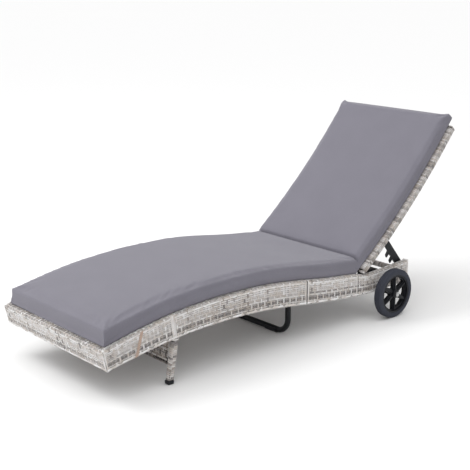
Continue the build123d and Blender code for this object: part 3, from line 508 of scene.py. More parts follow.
def strand_lines(graph, given, kind, start, end, points, wave):
    """One set of strands in flat space: lines copied in a row, waved, numbered and given a section."""
    first, step, count = given["First " + kind], given[kind + " Step"], given[kind + "s"]
    upright = kind == "Stake"
    begin = graph.vector(first, 0.0) if upright else graph.vector(0.0, first)
    offset = graph.vector(step, 0.0) if upright else graph.vector(0.0, step)
    row = graph.add("GeometryNodeMeshLine", {"Count": count, "Start Location": begin, "Offset": offset})
    index = graph.add("GeometryNodeInputIndex").outputs[0]
    numbered = graph.add(
        "GeometryNodeStoreNamedAttribute", {"Geometry": row.outputs[0], "Name": "strand", "Value": index}
    )
    line = graph.add("GeometryNodeCurvePrimitiveLine", {"Start": start, "End": end})
    fine = graph.add("GeometryNodeResampleCurve", {"Curve": line.outputs[0], "Count": points})
    spread_out = {"Points": numbered.outputs[0], "Instance": fine.outputs[0]}
    copies = graph.add("GeometryNodeInstanceOnPoints", spread_out)
    real = graph.add("GeometryNodeRealizeInstances", {"Geometry": copies.outputs[0]})
    strand = graph.add("GeometryNodeInputNamedAttribute", {"Name": "strand"}).outputs["Attribute"]
    place = graph.add("GeometryNodeInputPosition").outputs[0]
    parts = graph.add("ShaderNodeSeparateXYZ", {0: place}).outputs
    turn = wave(parts, strand)
    rise = graph.math("MULTIPLY", graph.math("COSINE", graph.math("MULTIPLY", turn, math.pi)), given["Lift"])
    seed = graph.math("ADD", given["Seed"], 100.0 if upright else 0.0)
    chance = graph.add(
        "FunctionNodeRandomValue", {2: 0.0, 3: 1.0, "ID": strand, "Seed": seed}, data_type="FLOAT"
    ).outputs[1]
    spread = graph.math("MULTIPLY", graph.math("SUBTRACT", chance, 0.5), given["Contrast"])
    shade = graph.math("ADD", graph.math("ADD", spread, 0.5), given["Tone"])
    wander = graph.add("ShaderNodeTexNoise", {"Vector": place, "Scale": 40.0}).outputs["Fac"]
    drift = graph.math("MULTIPLY", graph.math("SUBTRACT", wander, 0.5), STRAND * 0.16)
    moved = graph.vector(drift, 0.0, rise) if upright else graph.vector(0.0, drift, rise)
    waved = graph.add("GeometryNodeSetPosition", {"Geometry": real.outputs[0], "Offset": moved})
    toned = graph.add(
        "GeometryNodeStoreNamedAttribute",
        {"Geometry": waved.outputs[0], "Name": "tone", "Value": shade},
    )
    run = graph.math("ADD", parts["Y" if upright else "X"], graph.math("MULTIPLY", chance, 17.0))
    marked = graph.add(
        "GeometryNodeStoreNamedAttribute",
        {"Geometry": toned.outputs[0], "Name": "run", "Value": run},
    )
    level = graph.add("GeometryNodeSetCurveNormal", {"Curve": marked.outputs[0]}, mode="Z_UP")
    circle = graph.add("GeometryNodeCurvePrimitiveCircle", {"Resolution": 6, "Radius": 0.5})
    flat = graph.vector(given[kind + " Width"], given["Thickness"], 1.0)
    section = graph.add("GeometryNodeTransform", {"Geometry": circle.outputs[0], "Scale": flat})
    tube = graph.add(
        "GeometryNodeCurveToMesh",
        {"Curve": level.outputs[0], "Profile Curve": section.outputs[0], "Fill Caps": True},
    )
    return tube.outputs[0]


def strand_tree():
    """Strands woven in flat space, then laid on the guide sheet by its UV map."""
    tree = bpy.data.node_groups.new("strands_on_sheet", "GeometryNodeTree")
    tree.interface.new_socket("Geometry", in_out="INPUT", socket_type="NodeSocketGeometry")
    for name, kind, value in STRAND_INPUTS:
        socket = tree.interface.new_socket(name, in_out="INPUT", socket_type=kind)
        if value is not None:
            socket.default_value = value
    tree.interface.new_socket("Geometry", in_out="OUTPUT", socket_type="NodeSocketGeometry")
    graph = Graph(tree)
    given = graph.add("NodeGroupInput").outputs

    def row_wave(parts, strand):
        band = graph.math("FLOOR", graph.math("DIVIDE", graph.math("ADD", strand, 0.5), given["Pair"]))
        turn = graph.math("SUBTRACT", graph.math("DIVIDE", parts["X"], given["Stake Step"]), 0.5)
        return graph.math("ADD", turn, band)

    def stake_wave(parts, strand):
        band = graph.math("MULTIPLY", given["Row Step"], given["Pair"])
        turn = graph.math("ADD", graph.math("DIVIDE", parts["Y"], band), strand)
        return graph.math("ADD", turn, 0.5)

    far = graph.vector(given["Length"])
    rows = strand_lines(graph, given, "Row", graph.vector(), far, given["Row Points"], row_wave)
    top = graph.vector(given["Slant"], given["Height"])
    stakes = strand_lines(graph, given, "Stake", graph.vector(), top, given["Stake Points"], stake_wave)
    both = graph.add("GeometryNodeJoinGeometry")
    tree.links.new(rows, both.inputs[0])
    tree.links.new(stakes, both.inputs[0])

    place = graph.add("GeometryNodeInputPosition").outputs[0]
    parts = graph.add("ShaderNodeSeparateXYZ", {0: place}).outputs
    run = graph.add("GeometryNodeInputNamedAttribute", {"Name": "run"}).outputs["Attribute"]
    tilt = graph.math("ADD", parts["X"], parts["Y"])
    strand_place = graph.vector(run, tilt, parts["Z"])
    named = {"Geometry": both.outputs[0], "Name": "strand_place"}
    mapped = graph.add("GeometryNodeStoreNamedAttribute", named, data_type="FLOAT_VECTOR")
    graph.feed(mapped.inputs["Value"], strand_place)
    shares = []
    for axis, size in (("X", "Length"), ("Y", "Height")):
        share = graph.math("DIVIDE", parts[axis], given[size])
        shares.append(graph.math("MINIMUM", graph.math("MAXIMUM", share, 0.0005), 0.9995))
    chart = graph.add("GeometryNodeInputNamedAttribute", {"Name": "UVMap"}, data_type="FLOAT_VECTOR")
    where = graph.vector(*shares)
    found = []
    for field in ("GeometryNodeInputPosition", "GeometryNodeInputNormal"):
        sheet = {"Mesh": given["Geometry"]}
        sample = graph.add("GeometryNodeSampleUVSurface", sheet, data_type="FLOAT_VECTOR")
        graph.feed(sample.inputs["Value"], graph.add(field).outputs[0])
        graph.feed(sample.inputs[2], chart.outputs["Attribute"])
        graph.feed(sample.inputs[3], where)
        found.append(sample.outputs["Value"])
    out = graph.math("ADD", parts["Z"], given["Raise"])
    lifted = graph.add("ShaderNodeVectorMath", {0: found[1], "Scale": out}, operation="SCALE").outputs[0]
    landed = graph.add("ShaderNodeVectorMath", {0: found[0], 1: lifted}, operation="ADD").outputs[0]
    laid = graph.add("GeometryNodeSetPosition", {"Geometry": mapped.outputs[0], "Position": landed})
    smooth = graph.add("GeometryNodeSetShadeSmooth", {"Geometry": laid.outputs[0]})
    whole = graph.add("GeometryNodeRealizeInstances", {"Geometry": smooth.outputs[0]})
    finish = {"Geometry": whole.outputs[0], "Material": given["Material"]}
    finished = graph.add("GeometryNodeSetMaterial", finish)
    graph.feed(graph.add("NodeGroupOutput").inputs[0], finished.outputs[0])
    return tree


STRANDS = strand_tree()


def weave(name, guide, **sizes):
    """Run the strand tree on a guide sheet; gives the strands as one plain mesh."""
    sheet, length, height = guide
    modifier = sheet.modifiers.new("strands", "NODES")
    modifier.node_group = STRANDS
    values = {"Length": length, "Height": height, "Material": FINISHES["rattan"]}
    values.update(sizes)
    for key, value in values.items():
        modifier[inlet(STRANDS, key)] = value
    sheet.update_tag()
    bpy.context.view_layer.update()
    solid = sheet.evaluated_get(bpy.context.evaluated_depsgraph_get())
    mesh = bpy.data.meshes.new_from_object(solid)
    sheet.modifiers.remove(modifier)
    mesh.name = name
    return put(name, mesh)


def woven(name, guide, step=STAKE_STEP, row=ROW, width=STRAND, stake=STAKE, **more):
    """A whole panel of weave that fills a guide sheet."""
    _, length, height = guide
    rows = max(1, round(height / row))
    stakes = max(1, round(length / step))
    step = length / stakes
    row = height / rows
    sizes = {
        "Rows": rows,
        "Row Step": row,
        "First Row": row / 2,
        "Row Width": width,
        "Row Points": stakes * 4 + 1,
        "Stakes": stakes,
        "Stake Step": step,
        "First Stake": step / 2,
        "Stake Width": stake,
        "Stake Points": rows * 2 + 1,
    }
    sizes.update(more)
    return weave(name, guide, **sizes)


def wound(name, guide, **more):
    """A strand wound round a closed sleeve from end to end."""
    length = guide[1]
    turns = round(length / WRAP_STEP) - 1
    step = length / (turns + 1)
    sizes = {
        "Stakes": turns,
        "Stake Step": step,
        "First Stake": 0.0,
        "Slant": step,
        "Stake Width": step * 0.93,
        "Stake Points": 25,
        "Lift": 0.0,
        "Thickness": THIN * 1.3,
        "Contrast": 0.9,
        "Tone": -0.34,
    }
    sizes.update(more)
    winding = weave("turns", guide, **sizes)
    width = sizes["Stake Width"]
    sizes.update({"Stakes": 2, "First Stake": width * 0.5, "Stake Step": length - width, "Slant": 0.0})
    sizes["Thickness"] *= 1.2
    return join(name, [winding, weave("ends", guide, **sizes)])


def mount(piece, body, slot, *nodes):
    """Fix a piece to a body and hide the nodes it stands for; the slot is not used."""
    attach(piece, body)
    if nodes:
        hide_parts(*nodes)
    return piece


def join(name, pieces):
    """Several pieces as one mesh."""
    whole = bmesh.new()
    for piece in pieces:
        whole.from_mesh(piece.data)
    mesh = bpy.data.meshes.new(name)
    whole.to_mesh(mesh)
    whole.free()
    for finish in pieces[0].data.materials:
        mesh.materials.append(finish)
    for piece in pieces:
        bpy.data.objects.remove(piece)
    return put(name, mesh)


def drop(guide):
    """Remove a guide sheet that is no longer needed."""
    bpy.data.objects.remove(guide[0])


# ---- rails ----
def rail_section(top, bottom, inward, width):
    """The skin's middle line round a rail: inner face, over the top, down the outside, under, inner face."""
    half = SKIN / 2
    down = (bottom - top).normalized()
    depth = (bottom - top).length - half
    sleeve = min(SLEEVE, width)
    inner = max(width - half, half * 1.2)
    route = [(inner, sleeve), (inner, half), (half, half)]
    route += [(half, depth), (inner, depth), (inner, depth - sleeve)]
    return rounded([top + inward * across + down * drop_to for across, drop_to in route], CORNER)


def rail_rings(node, side, mitred):
    """Sections of one rail from its foot end to its head end."""
    low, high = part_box(node)
    y = high.y if side > 0 else low.y
    inward = -Y * side
    ends = [corner(node, Vector(way), y) for way in ((-1, 0, 1), (1, 0, 1), (-1, 0, -1), (1, 0, -1))]
    inside = inward * SKIN / 2
    top0, top1, low0, low1 = [end + inside for end in ends]
    nudge = X * SEAM
    start = X * HAIR if mitred else nudge
    tops = outline(node, top0 + start, top1 - nudge, Z)
    lows = outline(node, low0 + start, low1 - nudge, -Z)
    rings = []
    for top, bottom in zip(tops, lows):
        width = SLEEVE
        if mitred:
            width = min(SLEEVE, (top - tops[0]).length + MITRE)
        rings.append(rail_section(top - inside, bottom - inside, inward, width))
    return rings


def edge_places(guide, margin):
    """Heights on a rail's guide sheet of the strands along the outer face's upper and lower edges."""
    upper = 2 * SLEEVE - SKIN + margin
    return upper, guide[2] - upper


def edging(name, guide, side):
    """Long-stitched strands along the upper and lower edges of a rail's outer face."""
    upper, lower = edge_places(guide, EDGING * 0.45)
    sizes = {
        "Rows": 2,
        "First Row": upper,
        "Row Step": lower - upper,
        "Row Width": EDGING,
        "Row Points": round(guide[1] / EDGING_STEP) * 8 + 1,
        "Stake Step": EDGING_STEP,
        "Pair": 1,
        "Raise": side * LIFT * 0.9,
        "Thickness": THIN * 1.2,
        "Tone": 0.45,
        "Seed": 5,
    }
    return weave(name, guide, **sizes)


def lashing(name, guide, side, place, count, tone, width=STRAND):
    """Strands bound round a rail beside each other."""
    sizes = {
        "Stakes": count,
        "First Stake": place,
        "Stake Step": STRAND,
        "Stake Width": width,
        "Stake Points": 64,
        "Lift": 0.0,
        "Raise": side * LIFT * 1.1,
        "Tone": tone,
        "Seed": 9,
    }
    return weave(name, guide, **sizes)


def dark_row(guide, side):
    """A thin dark strand along the middle of a rail's outer face."""
    _, length, height = guide
    sizes = {
        "Rows": 1,
        "First Row": height / 2,
        "Row Width": 0.0022,
        "Row Points": round(length / STAKE_STEP) * 4 + 1,
        "Raise": side * LIFT * 0.5,
        "Tone": -2.0,
    }
    return weave("row", guide, **sizes)


def rails():
    """The woven skins of both rails, in two halves each."""
    for side, word in ((-1, "right"), (1, "left")):
        for half in ("foot", "head"):
            node = f"side_skirt_{half}_{word}"
            guide = guide_sheet(rail_rings(node, side, half == "foot"))
            body = woven(f"rail_weave_{half}_{word}", guide, Seed=11 + side)
            mount(body, "frame", "rattan", node)
            length = guide[1]
            trims = [edging("edge", guide, side)]
            trims.append(lashing("bind", guide, side, length - STRAND * 0.6, 1, 0.1))
            if half == "foot":
                trims.append(lashing("bind", guide, side, STRAND * 0.5, 1, 0.2))
                trims.append(lashing("bind", guide, side, front_leg_place(node), 3, 0.15))
            else:
                trims.append(lashing("bind", guide, side, STRAND * 0.6, 1, 0.1))
                trims.append(lashing("bind", guide, side, length * 0.475, 1, 0.1))
                trims.append(lashing("bind", guide, side, length * 0.475 + STRAND * 0.8, 1, -2.0, 0.0030))
                trims.append(dark_row(guide, side))
            mount(join(f"rail_binding_{half}_{word}", trims), "frame", "rattan")
            drop(guide)
        end_face(f"rail_end_{word}", node, X + Z, X - Z, "frame")


def front_leg_place(node):
    """How far along a rail the front leg meets it."""
    leg = centre("front_foot_right").x
    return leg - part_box(node)[0].x


def end_face(name, node, top, bottom, body):
    """The woven end face of a rail or tube; its corners lie furthest towards top and bottom."""
    low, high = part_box(node)
    back = -(top + bottom).normalized() * SKIN / 2
    upper = corner(node, top) + back
    under = corner(node, bottom) + back
    rings = [[Vector((upper.x, y, upper.z)), Vector((under.x, y, under.z))] for y in (high.y, low.y)]
    guide = guide_sheet(rings)
    piece = woven(name, guide, step=STRAND * 1.3, stake=STRAND, Pair=1, Seed=21)
    mount(piece, body, "rattan")
    drop(guide)


def foot_end():
    """The woven skirt across the foot end."""
    node = "foot_end_skirt"
    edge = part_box(node)[1].y
    top = corner(node, Z - X, edge)
    bottom = corner(node, -Z - X, edge)
    up = (top - bottom).normalized()
    inward = Vector((up.z, 0, -up.x))
    rings = []
    for step in range(STATIONS):
        share = step / (STATIONS - 1)
        y = edge - 2 * edge * share
        width = min(SLEEVE, edge - abs(y) + MITRE)
        here = Y * (y - top.y)
        rings.append(rail_section(top + here, bottom + here, inward, width))
    guide = guide_sheet(rings)
    mount(woven("foot_end_weave", guide, Seed=31), "frame", "rattan", node)
    trims = [edging("edge", guide, -1)]
    for place in (STRAND * 0.35, guide[1] - STRAND * 0.35):
        trims.append(lashing("bind", guide, -1, place, 1, 0.2))
    mount(join("foot_end_edging", trims), "frame", "rattan")
    drop(guide)


# ---- decks ----
def sheet_rings(points, y0, y1, drop_to):
    """A sheet across the lounger under a row of points."""
    return [[Vector((p.x, y0, p.z)) + drop_to, Vector((p.x, y1, p.z)) + drop_to] for p in points]


def seat_decks():
    """The woven deck under the seat, in two halves."""
    for half in ("foot", "head"):
        node = "seat_deck_" + half
        low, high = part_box(node)
        start = Vector((low.x + SKIN, 0, high.z))
        end = Vector((high.x - SKIN, 0, high.z))
        points = outline(node, start, end, Z, 30)
        if half == "foot":
            points.insert(0, points[0] + (points[0] - points[1]).normalized() * DECK_REACH)
        guide = guide_sheet(sheet_rings(points, low.y, high.y, -Z * SKIN / 2))
        sizes = (DECK_STAKE_STEP, DECK_ROW, DECK_STRAND, DECK_STAKE)
        piece = woven("seat_deck_weave_" + half, guide, *sizes, Pair=1, Seed=41)
        mount(piece, "frame", "rattan", node)
        drop(guide)


# ---- backrest ----
def back_slope():
    """The raised backrest's mean direction and the direction square to it, towards the sitter."""
    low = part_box("back_deck")[0]
    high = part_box("back_deck")[1]
    along = Vector((high.x - low.x, 0, high.z - low.z)).normalized()
    return along, Vector((-along.z, 0, along.x))


def back_lines(node, y, inset=0.002, count=STATIONS):
    """The front and back edges of a backrest piece, from the hinge to the top, at one place across."""
    along, out = back_slope()
    first = corner(node, -along)
    last = corner(node, along)
    start = Vector((first.x, y, first.z)) + along * inset
    end = Vector((last.x, y, last.z)) - along * inset
    return faces_between(node, start, end, out, count)


def thinned(points):
    """Every fourth point of a line, and its last."""
    return points[:-1:4] + points[-1:]


def sleeve_rings(fronts, backs, y0, y1, narrowing=0.0):
    """Closed sections of a wrapped bar, narrower at the first by so much on each side."""
    rings = []
    for index, (front, back) in enumerate(zip(fronts, backs)):
        half = SKIN / 2 + narrowing * (1 - index / (len(fronts) - 1))
        out = (front - back).normalized()
        f = front - out * half
        b = back + out * half
        route = ((f, y0 + half), (f, y1 - half), (b, y1 - half), (b, y0 + half))
        corners = [Vector((point.x, y, point.z)) for point, y in route]
        rings.append(rounded(corners, CORNER, closed=True))
    return rings


def backrest():
    """Wound side tubes and top tube, and the woven panel between them."""
    for word in ("left", "right"):
        node = "back_side_wrap_" + word
        low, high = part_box(node)
        fronts, backs = back_lines(node, (low.y + high.y) / 2 + HAIR, HAIR, 200)
        fronts, backs = thinned(fronts), thinned(backs)
        rise = (fronts[-1] - fronts[-2]).normalized() * BACK_OVERRUN
        fronts.append(fronts[-1] + rise)
        backs.append(backs[-1] + rise)
        guide = guide_sheet(sleeve_rings(fronts, backs, low.y, high.y))
        mount(wound("back_side_winding_" + word, guide, Seed=51), "backrest", "rattan", node)
        drop(guide)
        along, out = back_slope()
        end_face("back_tube_top_" + word, node, along + out, along - out, "backrest")
        end_face("back_tube_foot_" + word, node, out - along, -out - along, "backrest")
    back_top()
    node = "back_deck"
    low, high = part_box(node)
    fronts, backs = back_lines(node, HAIR, 0.001, 30)
    middles = [(front + back) / 2 for front, back in zip(fronts, backs)]
    guide = guide_sheet(sheet_rings(middles, low.y, high.y, Vector()))
    piece = woven("back_panel_weave", guide, 0.018, 0.0098, 0.0090, 0.0100, Pair=1, Seed=61)
    mount(piece, "backrest", "rattan", node)
    drop(guide)


def back_top():
    """The wound tube across the top of the backrest."""
    node = "back_top_wrap"
    low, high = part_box(node)
    along, out = back_slope()
    half = SKIN / 2
    steer = ((-1, 1), (1, 1), (1, -1), (-1, -1))
    corners = []
    for a, o in steer:
        spot = corner(node, along * a + out * o)
        corners.append(Vector((spot.x, 0, spot.z)) - along * a * half - out * o * half)
    section = rounded(corners, CORNER, closed=True)
    rings = [[point + Y * y for point in section] for y in (low.y, 0.0, high.y)]
    guide = guide_sheet(rings)
    mount(wound("back_top_winding", guide, Seed=71), "backrest", "rattan", node)
    drop(guide)


# ---- cross bar, legs and leg panel ----
def rear_bar():
    """The wound bar between the rails behind the backrest."""
    node = "rear_cross_wrap"
    low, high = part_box(node)
    middle = centre(node)
    radius = (high.z - low.z) / 2 - SKIN / 2
    ring = []
    for step in range(25):
        angle = step / 24 * math.tau
        ring.append(Vector((middle.x + radius * math.cos(angle), 0, middle.z + radius * math.sin(angle))))
    guide = guide_sheet([[point + Y * y for point in ring] for y in (low.y, high.y)])
    mount(wound("rear_bar_winding", guide, Seed=81), "frame", "rattan", node)
    drop(guide)


def front_legs():
    """The wound front legs."""
    for word in ("left", "right"):
        node = "front_leg_wrap_" + word
        low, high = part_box(node)
        y = (low.y + high.y) / 2 + HAIR
        start = Vector((0, y, low.z + 0.002)) + X * (low.x + high.x) / 2
        end = Vector((start.x, y, high.z - 0.012))
        fronts = outline(node, start, end, -X, 12)
        backs = outline(node, start, end, X, 12)
        rise = (fronts[-1] - fronts[0]).normalized() * LEG_OVERRUN
        fronts.append(fronts[-1] + rise)
        backs.append(backs[-1] + rise)
        guide = guide_sheet(sleeve_rings(fronts, backs, low.y, high.y, 0.0012))
        # Tone -0.4 is painted shade: it darkens the leg strands to stand in for the shadow on the legs' near
        # side.
        mount(wound("front_leg_winding_" + word, guide, Tone=-0.4, Seed=91), "frame", "rattan", node)
        drop(guide)
        foot_cap(word)


def foot_cap(word):
    """A rounded plastic cap under a front leg."""
    node = "front_foot_" + word
    low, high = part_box(node)
    shape = bmesh.new()
    bmesh.ops.create_cube(shape, size=1.0)
    middle = (low + high) / 2
    size = high - low
    for vertex in shape.verts:
        narrow = 0.84 if vertex.co.z < 0 else 0.90
        spread = (vertex.co.x * size.x * narrow, vertex.co.y * size.y * narrow, vertex.co.z * size.z)
        vertex.co = middle + Vector(spread)
    bmesh.ops.bevel(shape, geom=shape.edges[:], offset=0.0035, segments=4, profile=0.5, affect="EDGES")
    piece = moulded("foot_cap_" + word, shape, True)
    piece.data.materials.append(FINISHES["black_plastic"])
    mount(piece, "frame", "black_plastic", node)


def leg_panel():
    """The woven panel between the front legs, hemmed round its stretcher."""
    node = "front_leg_panel"
    low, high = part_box(node)
    tube_low, tube_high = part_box("front_leg_stretcher")
    middle = (tube_low + tube_high) / 2
    radius = (tube_high.z - tube_low.z) / 2 + SKIN / 2
    start = Vector((middle.x, HAIR, middle.z + radius))
    end = Vector((middle.x, HAIR, high.z - 0.010))
    face = outline(node, start, end, -X, 8)
    route = [Vector((point.x + SKIN / 2, 0, point.z)) for point in reversed(face)]
    for step in range(13):
        angle = math.radians(180 + step * 20)
        route.append(Vector((middle.x + radius * math.cos(angle), 0, middle.z + radius * math.sin(angle))))
    rings = [[point + Y * y for point in route] for y in (low.y, 0.0, high.y)]
    guide = guide_sheet(rings)
    # Tone -0.9 is painted shade: it darkens the panel to stand in for the shadow under the lounger.
    mount(woven("leg_panel_weave", guide, Tone=-0.9, Seed=101), "frame", "rattan", node)
    drop(guide)


# ---- mattress ----
def pad_outline():
    """The mattress seen from the side: its upper and lower lines from the foot end to the head end."""
    low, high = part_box("seat_cushion")
    start = Vector((low.x + PAD_END, 0, 0))
    end = Vector((high.x - PAD_END, 0, 0))
    upper = outline("seat_cushion", start + Z * high.z, end + Z * high.z, Z, 40)
    lower = outline("seat_cushion", start, end, -Z, 40)
    fronts, backs = back_lines("back_cushion", 0.0, PAD_END, 30)
    return upper, lower, fronts, backs


def pad_shape(upper, lower, half):
    """A closed slab between two lines."""
    points = list(upper) + list(reversed(lower))
    shape = bmesh.new()
    rings = []
    for y in (-half, half):
        rings.append([shape.verts.new((point.x, y, point.z)) for point in points])
    shape.faces.new(rings[0])
    shape.faces.new(list(reversed(rings[1])))
    count = len(points)
    for index in range(count):
        after = (index + 1) % count
        shape.faces.new((rings[0][index], rings[1][index], rings[1][after], rings[0][after]))
    return moulded("mattress", shape)


def bake(piece):
    """Apply a piece's modifiers."""
    bpy.context.view_layer.update()
    solid = piece.evaluated_get(bpy.context.evaluated_depsgraph_get())
    mesh = bpy.data.meshes.new_from_object(solid)
    piece.modifiers.clear()
    piece.data = mesh


def places(mesh):
    """A mesh's vertices as an array."""
    found = np.empty(len(mesh.vertices) * 3)
    mesh.vertices.foreach_get("co", found)
    return found.reshape(-1, 3)


def remesh(pad):
    """Even, fine faces and softened edges."""
    modifier = pad.modifiers.new("remesh", "REMESH")
    modifier.mode = "VOXEL"
    modifier.voxel_size = PAD_VOXEL
    smooth = pad.modifiers.new("soften", "SMOOTH")
    smooth.iterations = 3
    bake(pad)


def inflate(pad, held):
    """Swell the pad as cloth under pressure; held vertices stay where they are."""
    rest = places(pad.data)
    group_held = pad.vertex_groups.new(name="held")
    group_held.add([int(index) for index in np.nonzero(held)[0]], 1.0, "REPLACE")
    cloth = pad.modifiers.new("cloth", "CLOTH")
    settings = cloth.settings
    settings.quality = 4
    settings.mass = 0.4
    settings.tension_stiffness = 18
    settings.compression_stiffness = 18
    settings.bending_stiffness = 1.5
    settings.use_pressure = True
    settings.uniform_pressure_force = PAD_PRESSURE
    settings.effector_weights.gravity = 0
    settings.vertex_group_mass = "held"
    cloth.point_cache.frame_start = 1
    cloth.point_cache.frame_end = PAD_FRAMES
    for number in range(1, PAD_FRAMES + 1):
        bpy.context.scene.frame_set(number)
    bake(pad)
    bpy.context.scene.frame_set(1)
    moved = places(pad.data) - rest
    far = np.linalg.norm(moved, axis=1, keepdims=True)
    moved *= np.minimum(1.0, PAD_CAP / np.maximum(far, 1e-9))
    pad.data.vertices.foreach_set("co", (rest + moved).ravel())
    pad.vertex_groups.clear()


def mattress():
    """One mattress of grey canvas with a sewn crease over the hinge."""
    upper, lower, fronts, backs = pad_outline()
    along, out = back_slope()
    inset = PAD_INSET
    seat_top = [point - Z * inset for point in upper]
    back_top_line = [point - out * inset for point in fronts]
    crease = (seat_top[-1] + back_top_line[0]) / 2
    top_line = seat_top[:-1] + [crease] + back_top_line[1:]
    low_line = [point - Z * PAD_SINK for point in lower]
    low_line += [meeting(low_line[-2], low_line[-1], backs[1], backs[0])] + backs
    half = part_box("seat_cushion")[1].y - inset
    pad = pad_shape(top_line, low_line, half)
    remesh(pad)
    co = places(pad.data)
    seat_floor = BVHTree.FromPolygons(*strip(low_line, half))
    held = np.array([seat_floor.find_nearest(Vector(p))[3] < PAD_HELD for p in co])
    inflate(pad, held)
    press_crease(pad, crease, along)
    place_cloth(pad, top_line)
    pad.data.materials.clear()
    pad.data.materials.append(FINISHES["cushion_fabric"])
    pad.data.polygons.foreach_set("use_smooth", [True] * len(pad.data.polygons))
    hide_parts("seat_cushion", "back_cushion")
    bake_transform(pad)


def meeting(a, b, c, d):
    """Where the line from a through b meets the line from c through d, seen from the side."""
    first = b - a
    second = d - c
    cross = first.x * second.z - first.z * second.x
    share = ((c.x - a.x) * second.z - (c.z - a.z) * second.x) / cross
    return a + first * share


def strip(line, half):
    """Points and faces of a strip across the lounger along a line."""
    points = [Vector((p.x, y, p.z)) for p in line for y in (-half, half)]
    faces = [(2 * i, 2 * i + 1, 2 * i + 3, 2 * i + 2) for i in range(len(line) - 1)]
    return points, faces


def press_crease(pad, crease, along):
    """Sink the sewn line across the mattress."""
    finer(pad, crease, along)
    co = places(pad.data)
    away = np.array((X + along).normalized())
    sink = np.array((Z - X * 0.35).normalized())
    offset = co - np.array(crease)
    offset[:, 1] = 0
    across = offset @ away
    deep = offset @ sink
    near = np.exp(-(across / CREASE_WIDTH) ** 2) * np.clip(1 + deep / CREASE_FADE, 0, 1)
    co -= sink * (near * CREASE_DEPTH)[:, None]
    pad.data.vertices.foreach_set("co", co.ravel())


def finer(pad, crease, along):
    """Smaller faces beside the crease."""
    shape = bmesh.new()
    shape.from_mesh(pad.data)
    way = (X + along).normalized()
    near = []
    for edge in shape.edges:
        middle = (edge.verts[0].co + edge.verts[1].co) / 2 - crease
        if abs(middle.dot(way)) < CREASE_NEAR and middle.dot(Z) > -CREASE_FADE:
            near.append(edge)
    bmesh.ops.subdivide_edges(shape, edges=near, cuts=2, use_grid_fill=True)
    shape.to_mesh(pad.data)
    shape.free()


def place_cloth(pad, line):
    """Keep where each point lies on the cloth: along, across and up from the lower side."""
    co = places(pad.data)
    stops = np.array([(p.x, p.z) for p in line])
    runs = np.array(lengths(line))
    which = np.abs(co[:, None, 0] - stops[None, :, 0]) + np.abs(co[:, None, 2] - stops[None, :, 1])
    nearest = which.argmin(axis=1)
    ways = np.gradient(stops, axis=0)
    ways /= np.linalg.norm(ways, axis=1, keepdims=True)
    gap = co[:, [0, 2]] - stops[nearest]
    along = runs[nearest] + (gap * ways[nearest]).sum(axis=1)
    up = gap[:, 1] * ways[nearest][:, 0] - gap[:, 0] * ways[nearest][:, 1]
    cloth = np.stack([along, co[:, 1], up], axis=1)
    attribute = pad.data.attributes.new("cloth", "FLOAT_VECTOR", "POINT")
    attribute.data.foreach_set("vector", cloth.ravel())


# ---- straps ----
def strap(word):
    """A loop of flat webbing round the rail that holds the mattress."""
    node = "cushion_strap_" + word
    low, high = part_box(node)
    tops = [v.co for v in NODES[node].data.vertices if v.co.z > high.z - 0.008]
    lows = [v.co for v in NODES[node].data.vertices if v.co.z < low.z + 0.008]
    upper = sum(tops, Vector()) / len(tops)
    under = sum(lows, Vector()) / len(lows)
    down = (under - upper).normalized()
    wide = Vector((-down.z, 0, down.x))
    thick = WEBBING_THICKNESS
    depth = (high.z - low.z) - 0.003
    top = Vector((upper.x, 0, upper.z)) + down * 0.001
    corners = []
    for y, drop_to in ((low.y, 0), (high.y, 0), (high.y, depth), (low.y, depth)):
        inward = thick / 2 if y == low.y else -thick / 2
        lean = X * STRAP_LEAN * (0.5 - drop_to / depth)
        corners.append(top + down * drop_to + Y * (y + inward) + lean)
    loop = rounded(corners, 0.004, closed=True)[:-1]
    shape = bmesh.new()
    rows = []
    for share in (-0.5, -0.2, 0.2, 0.5):
        rows.append([shape.verts.new(point + wide * share * WEBBING) for point in loop])
    count = len(loop)
    for first, second in zip(rows, rows[1:]):
        for index in range(count):
            after = (index + 1) % count
            shape.faces.new((first[index], first[after], second[after], second[index]))
    piece = moulded("strap_webbing_" + word, shape)
    wall = piece.modifiers.new("wall", "SOLIDIFY")
    wall.thickness = thick
    wall.offset = 0
    soften = piece.modifiers.new("soften", "BEVEL")
    soften.width = 0.0003
    soften.segments = 2
    bake(piece)
    piece.data.materials.append(FINISHES["strap"])
    mount(piece, "frame", "strap", node)


# ---- wheels ----
def tyre(word):
    """A tread ring with grooves round it and round shoulders."""
    node = "tyre_" + word
    low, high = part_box(node)
    middle = (low + high) / 2
    radius = (high.z - low.z) / 2
    half = (high.y - low.y) / 2
    bore = radius - TYRE_DEPTH
    profile = [(bore, -half), (radius - 0.008, -half), (radius - 0.002, -half + 0.003)]
    for groove in (-GROOVE_STEP, 0.0, GROOVE_STEP):
        profile += [(radius, groove - 0.0028), (radius - GROOVE_DEPTH, groove - 0.0014)]
        profile += [(radius - GROOVE_DEPTH, groove + 0.0014), (radius, groove + 0.0028)]
    profile += [(radius - 0.002, half - 0.003), (radius - 0.008, half), (bore, half)]
    steps = 96
    shape = bmesh.new()
    rings = []
    for step in range(steps):
        angle = step / steps * math.tau
        ring = []
        for r, y in profile:
            ring.append(shape.verts.new(middle + Vector((r * math.cos(angle), y, r * math.sin(angle)))))
        rings.append(ring)
    count = len(profile)
    for step in range(steps):
        here = rings[step]
        after = rings[(step + 1) % steps]
        for index in range(count):
            other = (index + 1) % count
            shape.faces.new((here[index], here[other], after[other], after[index]))
    piece = moulded("tread_ring_" + word, shape)
    soften = piece.modifiers.new("soften", "BEVEL")
    soften.width = 0.0007
    soften.segments = 2
    soften.angle_limit = math.radians(25)
    bake(piece)
    piece.data.polygons.foreach_set("use_smooth", [True] * len(piece.data.polygons))
    piece.data.materials.append(FINISHES["tyre"])
    mount(piece, "wheel_" + word, "tyre", node)


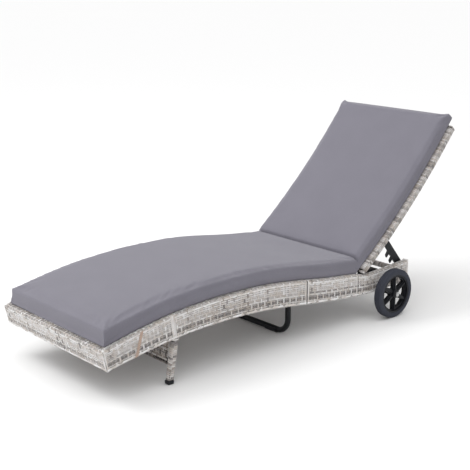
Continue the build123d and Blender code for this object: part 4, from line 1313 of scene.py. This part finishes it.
# ---- studio ----
def camera():
    """The view of the lounger from its near foot corner."""
    lens = bpy.data.cameras.new("view")
    lens.lens = 78.71
    lens.sensor_width = 36
    spot = bpy.data.objects.new("view", lens)
    spot.location = (-2.6038, -2.8814, 1.3953)
    aim = Vector((-0.0300, 0.0282, 0.3545))
    spot.rotation_euler = (aim - spot.location).to_track_quat("-Z", "Y").to_euler()
    bpy.context.scene.collection.objects.link(spot)
    bpy.context.scene.camera = spot


def lamp(name, place, size, power):
    """A soft lamp aimed at the lounger."""
    light = bpy.data.lights.new(name, "AREA")
    light.shape = "DISK"
    light.size = size
    light.energy = power
    spot = bpy.data.objects.new(name, light)
    spot.location = place
    spot.rotation_euler = (Z * 0.25 - spot.location).to_track_quat("-Z", "Y").to_euler()
    bpy.context.scene.collection.objects.link(spot)


def sky():
    """A white room, brightest overhead and dark behind the camera."""
    world = bpy.data.worlds.new("sky")
    world.use_nodes = True
    graph = Graph(world.node_tree)
    way = graph.add("ShaderNodeTexCoord").outputs["Generated"]
    facing = graph.add("ShaderNodeVectorMath", {0: way, 1: SKY_WAY}, operation="DOT_PRODUCT").outputs["Value"]
    strength = graph.math("MAXIMUM", graph.math("MULTIPLY_ADD", facing, 1.15, 0.36), 0.0)
    background = world.node_tree.nodes["Background"].inputs
    background["Color"].default_value = (1, 1, 1, 1)
    graph.feed(background["Strength"], strength)
    bpy.context.scene.world = world


def studio():
    """Pale floor, a sky brightest overhead and one soft lamp."""
    mesh = bpy.data.meshes.new("floor")
    size = 40.0
    corners = [(-size, -size, 0), (size, -size, 0), (size, size, 0), (-size, size, 0)]
    mesh.from_pydata(corners, [], [(0, 1, 2, 3)])
    floor = put("floor", mesh)
    made, _, shader = material("pale_floor")
    shader.inputs["Base Color"].default_value = (0.90, 0.90, 0.90, 1)
    shader.inputs["Roughness"].default_value = 0.9
    mesh.materials.append(made)
    sky()
    lamp("key", (-2.2, 2.4, 3.8), 2.2, 70)
    bpy.context.scene.view_settings.view_transform = "Standard"


camera()
studio()
finish_nodes()
rails()
foot_end()
seat_decks()
backrest()
rear_bar()
front_legs()
leg_panel()
mattress()
for name in ("left", "right"):
    strap(name)
    tyre(name)
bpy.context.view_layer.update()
